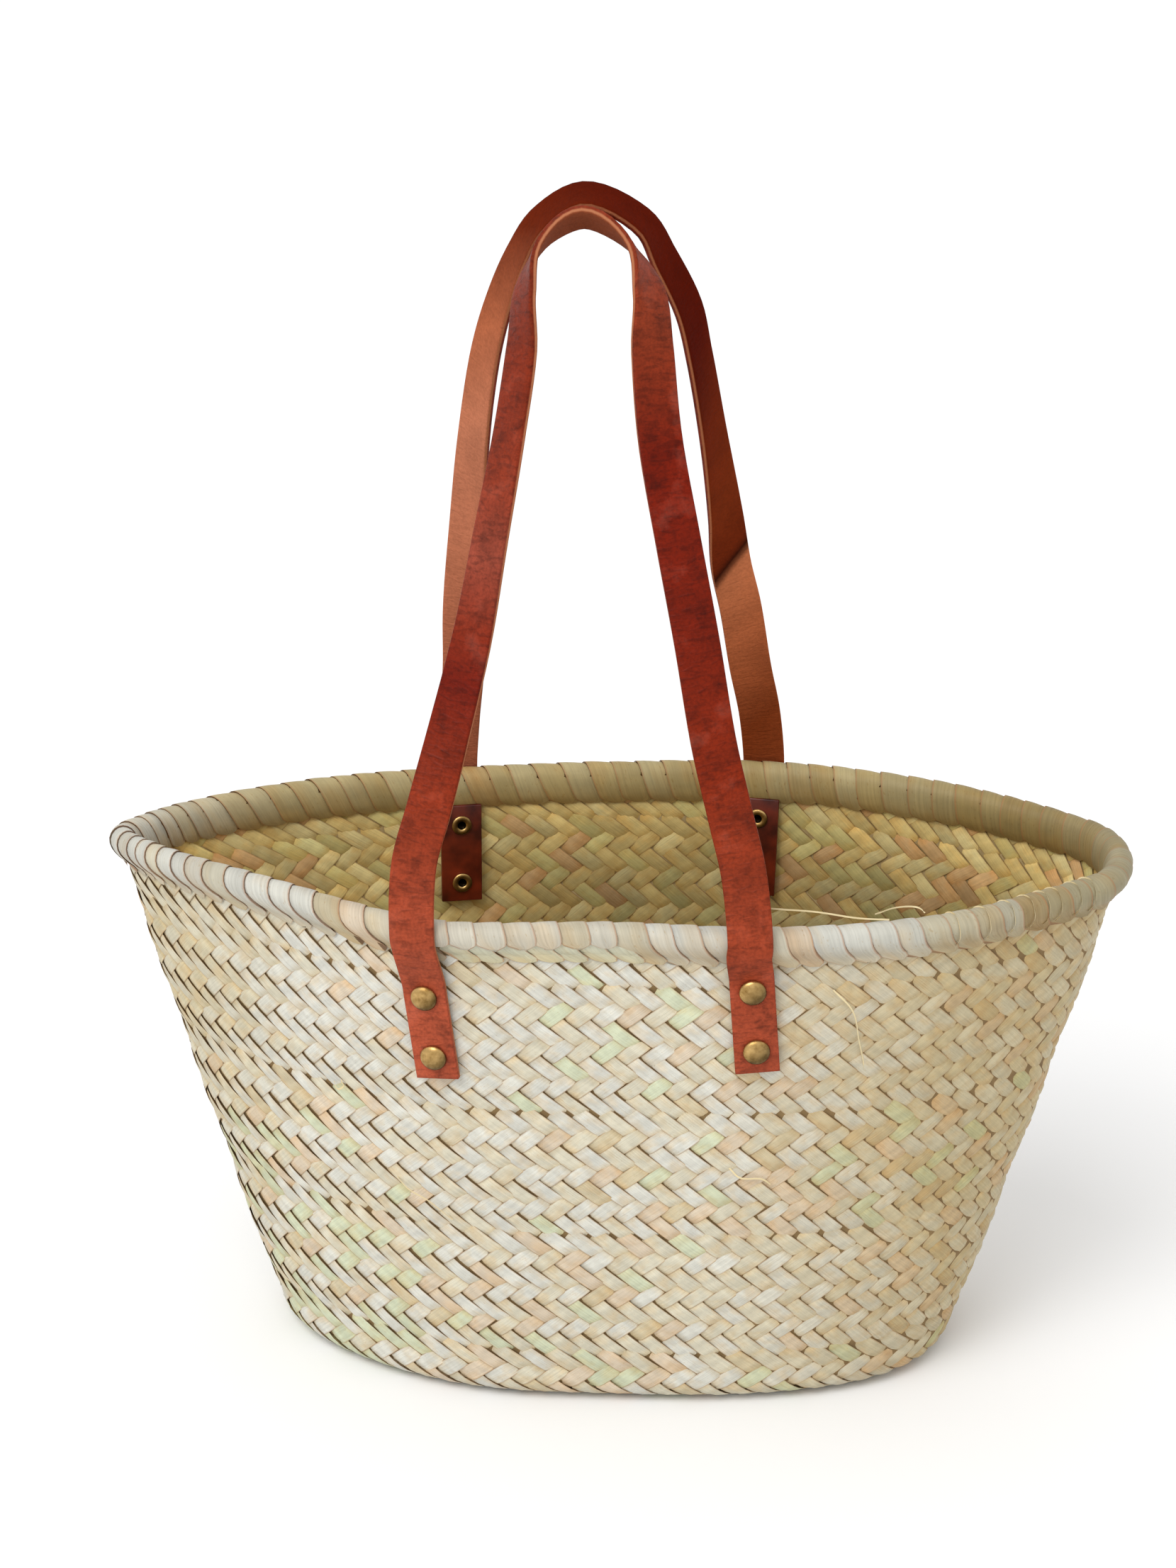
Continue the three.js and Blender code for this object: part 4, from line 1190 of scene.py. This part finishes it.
def tab_material():
    material, tree, shader = empty_material("tab leather")
    link = tree.links.new
    clouds = noise(tree, object_place(tree), in_Scale=90, in_Detail=4)
    worn = ramp(tree, clouds, (0.35, 0), (0.7, 1))
    link(mixed(tree, "MIX", worn, srgb(58, 12, 6), srgb(116, 38, 17)), shader.inputs["Base Color"])
    shader.inputs["Roughness"].default_value = 0.3
    link(relief(tree, clouds, 0.3, 0.0003), shader.inputs["Normal"])
    return material


dark_leather = tab_material()
for side_name, leg_name in FEET:
    backing_tab(side_name, leg_name, dark_leather)
print("tabs:", len(FEET))

# %% [markdown]
# Each rivet has a domed brass cap outside, a post through the strap, wall and tab, and a tube inside
# whose end is rolled outwards into a ring. All of it is round, so one profile is spun about its axis.
# The points down in the tube are marked, so that the brass can be painted nearly black there, as painted
# shade in the hole. The caps are painted lighter towards the upper left and darker to the lower right,
# as painted light and shade.
# %% Rivets
CAP_HEIGHT = 0.0022
CAP_EDGE = 0.0007
POST_RADIUS = 0.0024
RING_RADIUS = 0.0044
RING_THICKNESS = 0.0012
RING_HOLE = 0.0018
RING_HOLE_DEPTH = 0.0011       # down to the tab's face, and painted nearly black as shade
GRIP = STRAP_OFFSET + STRAP_THICKNESS / 2 + TAB_OFFSET + TAB_THICKNESS / 2 + 2 * GAP
SPIN_STEPS = 32


def rivet_profile():
    cap_face = STRAP_OFFSET + STRAP_THICKNESS / 2 + GAP
    ring_face = cap_face - GRIP
    ring_end = ring_face - RING_THICKNESS
    half_ring = RING_THICKNESS / 2
    ring_middle = (RING_HOLE + RING_RADIUS) / 2
    points = [(0, ring_end + RING_HOLE_DEPTH), (RING_HOLE, ring_end + RING_HOLE_DEPTH),
              (RING_HOLE, ring_face - half_ring)]
    for step in range(1, 6):
        angle = math.pi * step / 6
        points.append((ring_middle - (RING_RADIUS - RING_HOLE) / 2 * math.cos(angle),
                       ring_face - half_ring - half_ring * math.sin(angle)))
    points += [(RING_RADIUS, ring_face - half_ring), (RING_RADIUS - 0.0003, ring_face),
               (POST_RADIUS, ring_face), (POST_RADIUS, cap_face), (CAP_RADIUS - 0.0003, cap_face),
               (CAP_RADIUS, cap_face + 0.0003), (CAP_RADIUS, cap_face + CAP_EDGE)]
    for step in range(1, 7):
        angle = math.pi / 2 * step / 6
        points.append((CAP_RADIUS * math.cos(angle) if step < 6 else 0,
                       cap_face + CAP_EDGE + CAP_HEIGHT * math.sin(angle)))
    return points


def spun_rivet(side, leg, level, material):
    foot = FEET[side, leg]
    height = upper_rivet(foot) - (RIVET_SPACING if level == "lower" else 0)
    turn = turn_at(side, leg_x(foot, height), height)
    out, up = wall_frame(turn, height)
    across_way = np.cross(out, up)
    seat = wall_point(turn, height, 0)
    shape = bmesh.new()
    line = [shape.verts.new((radius, along, 0)) for radius, along in rivet_profile()]
    edges = [shape.edges.new(pair) for pair in zip(line, line[1:])]
    bmesh.ops.spin(shape, geom=line + edges, axis=(0, 1, 0), cent=(0, 0, 0), steps=SPIN_STEPS,
                   angle=2 * math.pi, use_merge=True)
    bmesh.ops.remove_doubles(shape, verts=shape.verts, dist=0.00001)
    in_hole = [math.hypot(vertex.co.x, vertex.co.z) < RING_HOLE * 1.02 and vertex.co.y < 0
               for vertex in shape.verts]
    for vertex in shape.verts:
        x, y, z = vertex.co
        vertex.co = seat + across_way * x + out * y + up * z
    bmesh.ops.recalc_face_normals(shape, faces=shape.faces)
    name = f"brass_rivet_{side}_{leg}_{level}"
    mesh = mesh_of(name, shape)
    mark_points(mesh, "hole", in_hole)
    piece = new_piece(name, mesh, material)
    attach(piece, "antique_brass", f"rivet_{side}_{leg}_{level}")


PAINTED_LIGHT_FROM = (-0.45, 0, 0.6)     # painted light: the caps are painted brightest on their side towards the upper left, and darker to the lower right


def brass_material():
    material, tree, shader = empty_material("antique brass")
    link = tree.links.new
    wear = noise(tree, object_place(tree), in_Scale=260, in_Detail=4, in_Roughness=0.6)
    dull = ramp(tree, wear, (0.35, 0), (0.7, 1))
    worn = mixed(tree, "MIX", dull, srgb(206, 170, 110), srgb(142, 110, 60))
    # Painted light and shade: each cap's colour is darkened on the side that faces away from the upper
    # left.
    facing_light = add_node(tree, "ShaderNodeVectorMath", operation="DOT_PRODUCT")
    facing_light.inputs[1].default_value = PAINTED_LIGHT_FROM
    link(object_place(tree, "Normal"), facing_light.inputs[0])
    lit_side = worked(tree, "ADD", facing_light.outputs["Value"], 0.5)
    worn = mixed(tree, "MULTIPLY", 1.0, worn, ramp(tree, lit_side, (0.25, 0.30), (0.68, 1.0)))
    # Painted shade: the points down in the hole are painted nearly black.
    hole = attribute(tree, "hole", "Fac")
    link(mixed(tree, "MIX", hole, worn, srgb(20, 14, 8)), shader.inputs["Base Color"])
    link(ramp(tree, wear, (0.3, 0.26), (0.7, 0.48)), shader.inputs["Roughness"])
    shader.inputs["Metallic"].default_value = 1.0
    link(relief(tree, wear, 0.2, 0.0002), shader.inputs["Normal"])
    return material


brass = brass_material()
for side_name, leg_name in FEET:
    for level_name in ("upper", "lower"):
        spun_rivet(side_name, leg_name, level_name, brass)
print("rivets:", 2 * len(FEET))

# %% [markdown]
# Handwork leaves loose threads of leaf: a straw that springs off the front rim, threads that wind round
# the roll towards the right end, and a few on the wall. Each one is a curve through a few places on the
# wall, given by the turn in degrees, the height, and how far it stands out, both in millimetres. The
# same flat pillow as before, but long and thin, is laid along each curve.
# %% Loose threads
THREAD_WIDTH = 0.0007
THREAD_DEPTH = 0.00025
THREADS = (
    ((302.0, 228.4, -1.5), (298.0, 229.6, -3.0), (293.0, 232.0, -6.0), (288.0, 233.0, -8.0)),
    ((307.0, 228.6, -4.0), (306.0, 230.4, -6.5), (303.0, 231.0, -7.0), (300.5, 229.2, -6.0)),
    ((296.2, 199.8, 1.6), (299.0, 190.0, 2.6), (300.6, 176.0, 2.2), (302.5, 161.1, 0.6)),
    ((233.0, 143.5, 0.6), (234.0, 141.5, 2.4), (235.0, 143.5, 2.0), (234.4, 145.5, 1.0)),
    ((240.6, 104.5, 0.7), (242.5, 100.5, 2.2), (245.5, 96.5, 2.4), (248.4, 88.1, 0.8)),
    ((286.0, 118.0, 0.7), (287.5, 114.0, 2.0), (290.5, 113.0, 1.8), (292.0, 109.5, 0.7)),
)
LOOP_TURNS = (312.0, 316.5, 320.5, 324.0, 327.0, 329.5, 334.0, 338.0)
LOOP_SHARES = (0.08, 0.25, 0.42, 0.58, 0.75)
LOOP_LEAN = 3.0                # degrees round the basket that a loop moves on
LOOP_LIFT = 0.0009

thread_corners, thread_faces = float_pattern(24, 1)


def lay_thread(points):
    """The long pillow's points along a curve, flat side down."""
    at = np.clip(thread_corners[:, 0] / FLOAT_REACH, -1, 1) / 2 + 0.5
    step = 0.004
    ahead = unit(smooth_curve(points, np.minimum(at + step, 1))
                 - smooth_curve(points, np.maximum(at - step, 0)))
    middle = smooth_curve(points, at)
    away = middle.copy()
    away[:, 2] = 0
    aside = unit(np.cross(ahead, unit(away)))
    top = unit(np.cross(aside, ahead))
    lift = THREAD_DEPTH * (thread_corners[:, 2:] > 0)
    return middle + aside * thread_corners[:, 1:2] * THREAD_WIDTH / 2 + top * lift


def loop_points(turn):
    section_place, section_out = wrap_path(np.array(LOOP_SHARES))
    section_place = section_place + section_out * LOOP_LIFT
    turns = np.radians(turn - LOOP_LEAN * np.array(LOOP_SHARES))
    out, up = wall_frame(turns, rim_height(turns))
    return (wall_point(turns, rim_height(turns), -WALL / 2)
            + out * section_place[:, :1] + up * section_place[:, 1:])


thread_lines = [wall_point(np.radians(rows[:, 0]), rows[:, 1] / 1000, rows[:, 2] / 1000)
                for rows in np.array(THREADS)]
thread_lines += [loop_points(turn) for turn in LOOP_TURNS]
thread_places = np.array([lay_thread(line) for line in thread_lines])
thread_strips = np.zeros_like(thread_places)
thread_strips[..., 2] = np.arange(len(thread_lines))[:, None] * 5
thread_tints = np.tile(srgb(232, 214, 168), (len(thread_lines), 1))
loose_threads = joined_copies("loose_threads", thread_places, thread_faces, thread_tints, thread_strips,
                              rim_leaf)
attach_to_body(loose_threads, "root")

# %% [markdown]
# The bag stands on a plain pale floor in a bright, even surround, as in a catalogue photograph. A wide
# sun from the upper left gives it some form, and as it is far away the floor stays as white behind the
# bag as in front of it. A small soft light adds glints on the brass and the leather.
# %% Floor and light
FLOOR_SIZE = 12.0
SUN_STRENGTH = 1.1
SUN_SPREAD = 40                # degrees: wide, so that the shadows are soft
SUN_FROM = (-0.45, -0.75, 1.2)
SURROUND = 0.92

floor_shape = bmesh.new()
bmesh.ops.create_grid(floor_shape, x_segments=1, y_segments=1, size=FLOOR_SIZE / 2)
floor_material, _, floor_shader = empty_material("pale floor")
floor_shader.inputs["Base Color"].default_value = (0.86, 0.86, 0.86, 1)
floor_shader.inputs["Roughness"].default_value = 0.9
floor = new_piece("floor", mesh_of("floor", floor_shape), floor_material, smooth=False)
floor.location.z = -0.0005


def soft_light(name, place, size, power):
    data = bpy.data.lights.new(name, "AREA")
    data.shape = "SQUARE"
    data.size = size
    data.energy = power
    light = bpy.data.objects.new(name, data)
    light.location = place
    light.rotation_euler = (Vector((0, 0, 0.15)) - Vector(place)).to_track_quat("-Z", "Y").to_euler()
    bpy.context.collection.objects.link(light)


soft_light("key", (-1.0, -1.6, 2.0), 1.0, 10)

sun_data = bpy.data.lights.new("even light", "SUN")
sun_data.energy = SUN_STRENGTH
sun_data.angle = math.radians(SUN_SPREAD)
sun = bpy.data.objects.new("even light", sun_data)
sun.rotation_euler = Vector(SUN_FROM).to_track_quat("Z", "Y").to_euler()
bpy.context.collection.objects.link(sun)

world = bpy.data.worlds.new("studio")
world.use_nodes = True
world.node_tree.nodes["Background"].inputs["Color"].default_value = (1, 1, 1, 1)
world.node_tree.nodes["Background"].inputs["Strength"].default_value = SURROUND
bpy.context.scene.world = world
bpy.context.scene.view_settings.view_transform = "Standard"
print("lights ready")

# %% [markdown]
# The last cell brings the scene up to date.
# %% Finish
bpy.context.view_layer.update()
